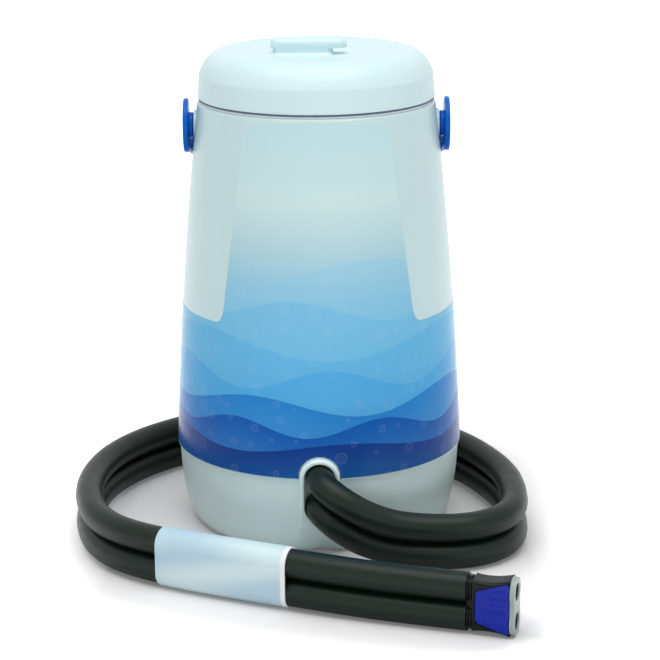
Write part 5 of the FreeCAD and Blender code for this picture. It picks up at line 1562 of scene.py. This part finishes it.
@dataclass
class Coupling:
    """Twin quick coupling at the hoses' ends, in its own frame: X onward, Y to the back face, Z up.

    Attributes:
        origin: Where the hoses end, at mid height.
        heading: Direction of the hoses' last run.
        pad_span: Where the release pads start and end along X.
        pad_half: Half height of a pad at its narrow and at its wide end.
        pad_corner: Radius of its corners.
        pad_seat: Distance of its back from the coupling's middle plane.
        pad_thick: Its thickness between the ridges.
        pad_margin: Width over which it drops to its edge.
        ridges: Heights of the finger ridges' middle lines.
        ridge_span: Where the ridges start and end along X.
        ridge_ends: Length over which they set in.
        ridge_radius: Radius of the cylinders that they are slices of.
        ridge_sunk: Depth of those cylinders' middles under the face.
    """

    origin: tuple[float, float, float] = (92.0, -223.6, 19.15)
    heading: tuple[float, float] = (50.0, -15.6)
    pad_span: tuple[float, float] = (6.0, 27.6)
    pad_half: tuple[float, float] = (10.3, 17.2)
    pad_corner: float = 2.5
    pad_seat: float = 7.9
    pad_thick: float = 0.55
    pad_margin: float = 0.7
    ridges: tuple[float, ...] = (-9.0, 0.0, 9.0)
    ridge_span: tuple[float, float] = (13.5, 26.4)
    ridge_ends: float = 1.2
    ridge_radius: float = 5.0
    ridge_sunk: float = 3.95

    def world(self, skin: Skin) -> Skin:
        """Carry a skin from the coupling's frame to where the coupling lies.

        Args:
            skin: Skin in the coupling's frame.

        Returns:
            The carried skin.
        """
        onward = np.array([*self.heading, 0.0]) / math.hypot(*self.heading)
        back = np.array([-onward[1], onward[0], 0.0])
        return turned_about(skin, np.array(self.origin), onward, back, Z_WAY)

    def pad_skin(self, face: Face) -> Skin:
        """Release pad: a plate whose outline widens onward, with finger ridges along its face.

        Rows run along the pad and columns across it, both closer together at the edges. The face drops to the
        plate's back at its margins, by a quarter circle.

        Args:
            face: Front or back face of the coupling.

        Returns:
            The closed skin.
        """
        (first, last), (narrow, wide), corner = self.pad_span, self.pad_half, self.pad_corner
        a = np.linspace(0, 1, 97)[:, None]
        b = np.sin(np.linspace(-1, 1, 97) * np.pi / 2)[None]
        x = first + (last - first) * (1 - np.cos(np.pi * a)) / 2
        ends = np.minimum(x - first, last - x)
        near = np.clip(corner - ends, 0, corner)
        half = narrow + (wide - narrow) * (x - first) / (last - first)
        half = half - (corner - np.sqrt(corner**2 - near**2))
        z = half * b
        margin = np.clip(np.minimum(ends, (1 - np.abs(b)) * half) / self.pad_margin, 0, 1)
        ease = np.sqrt(np.clip(1 - (1 - margin) ** 2, 0, 1))
        off = np.min(np.abs(z[..., None] - np.array(self.ridges)), axis=-1)
        begun = np.clip(np.minimum(x - self.ridge_span[0], self.ridge_span[1] - x) / self.ridge_ends, 0, 1)
        slices = np.sqrt(np.clip(self.ridge_radius**2 - off**2, 0, None)) - self.ridge_sunk
        proud = self.pad_seat + (self.pad_thick + np.clip(slices, 0, None) * np.sqrt(begun)) * ease
        front, behind = (np.stack(np.broadcast_arrays(x, face.value * y, z), axis=-1)
                         for y in (proud, self.pad_seat + 0 * proud))
        points = np.concatenate([front, behind[::-1]], axis=0)
        return self.world(Skin(points, wrap_rows=True))

    def build(self) -> list[Thing]:
        """Make every piece of the coupling.

        Returns:
            The pieces that lie on the hoses.
        """
        made = [smoothed_copy(node, Berth("machine", "coupling_black"), BLACK_ABS)
                for node in ("hose_necks", "coupling_body")]
        made.append(smoothed_copy("coupling_flange", Berth("machine", "coupling_grey"), GREY_ACETAL))
        for face, body in ((Face.FRONT, "pad_front"), (Face.BACK, "pad_back")):
            made.append(dressed(f"release_{body}_skin", [self.pad_skin(face)],
                                Berth(body, "pad_blue", (f"release_{body}",)), PAD_PP, 55))
        return made


# --- Base and inner pieces ---


@dataclass
class Works:
    """Base shell, tank and everything inside, which keep their own shapes.

    Attributes:
        smooth: Nodes shown by a smoothed copy, with body, slot and finish.
        plain: Finish of every other node.
    """

    smooth: dict[str, tuple[str, str, Finish]] = field(default_factory=lambda: {
        # The base takes the lighter copy of the body plastic: painted light for the shade under the bucket.
        "base_shell": ("machine", "white_shell", BASE_ABS),
        "base_plate": ("machine", "tank_plastic", LINER_PP),
        "tank_liner": ("machine", "tank_plastic", LINER_PP),
        "suction_strainer": ("machine", "pump_plastic", BLACK_NYLON),
        "suction_fitting": ("machine", "fitting_plastic", IVORY_NYLON),
        "return_fitting": ("machine", "fitting_plastic", IVORY_NYLON),
        "power_inlet": ("machine", "socket_black", BLACK_ABS),
        "rubber_feet": ("machine", "foot_rubber", FOOT_RUBBER),
        "pump_motor": ("machine", "motor_steel", MOTOR_STEEL),
        "pump_case": ("machine", "pump_plastic", BLACK_NYLON)})
    plain: dict[str, Finish] = field(default_factory=lambda: {
        "deck_plate": LINER_PP, "bucket_insulation": BLOWN_FOAM, "lid_foam": BLOWN_FOAM,
        "plate_screws": SCREW_STEEL, "case_screws": SCREW_STEEL, "grip_screws": SCREW_STEEL,
        "motor_shaft": SCREW_STEEL, "pump_back_plate": BLACK_NYLON, "pump_impeller": IVORY_NYLON,
        "supply_fitting": IVORY_NYLON, "drain_fitting": IVORY_NYLON, "supply_tube": CLEAR_PVC,
        "return_tube": CLEAR_PVC, "inlet_nut": BLACK_NYLON, "motor_leads": WIRE_PVC, "port_seals": SEAL_RUBBER,
        "valve_poppet_high": IVORY_NYLON, "valve_poppet_low": IVORY_NYLON, "valve_spring_high": SCREW_STEEL,
        "valve_spring_low": SCREW_STEEL})

    def build(self) -> None:
        """Smooth what shows and dress the rest."""
        for node, (body, slot, finish) in self.smooth.items():
            smoothed_copy(node, Berth(body, slot), finish)
        for node, finish in self.plain.items():
            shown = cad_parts[node]
            shown.data.materials.clear()
            shown.data.materials.append(finish.material())
            log.info("%s keeps its mesh, %s", node, finish.name)


def main() -> None:
    """Build the studio, the hoses, then the machine from the ground up."""
    logging.basicConfig(level=logging.INFO, format="%(message)s")
    Studio().build()
    hoses = Hoses()
    hoses.build()
    sleeve = Sleeve().build(hoses)
    coupling = Coupling().build()
    hoses.declare(Level.LOW)
    hoses.declare(Level.HIGH)
    Bucket().build()
    Lid().build()
    Bail().build()
    Works().build()


if __name__ == "__main__":
    main()
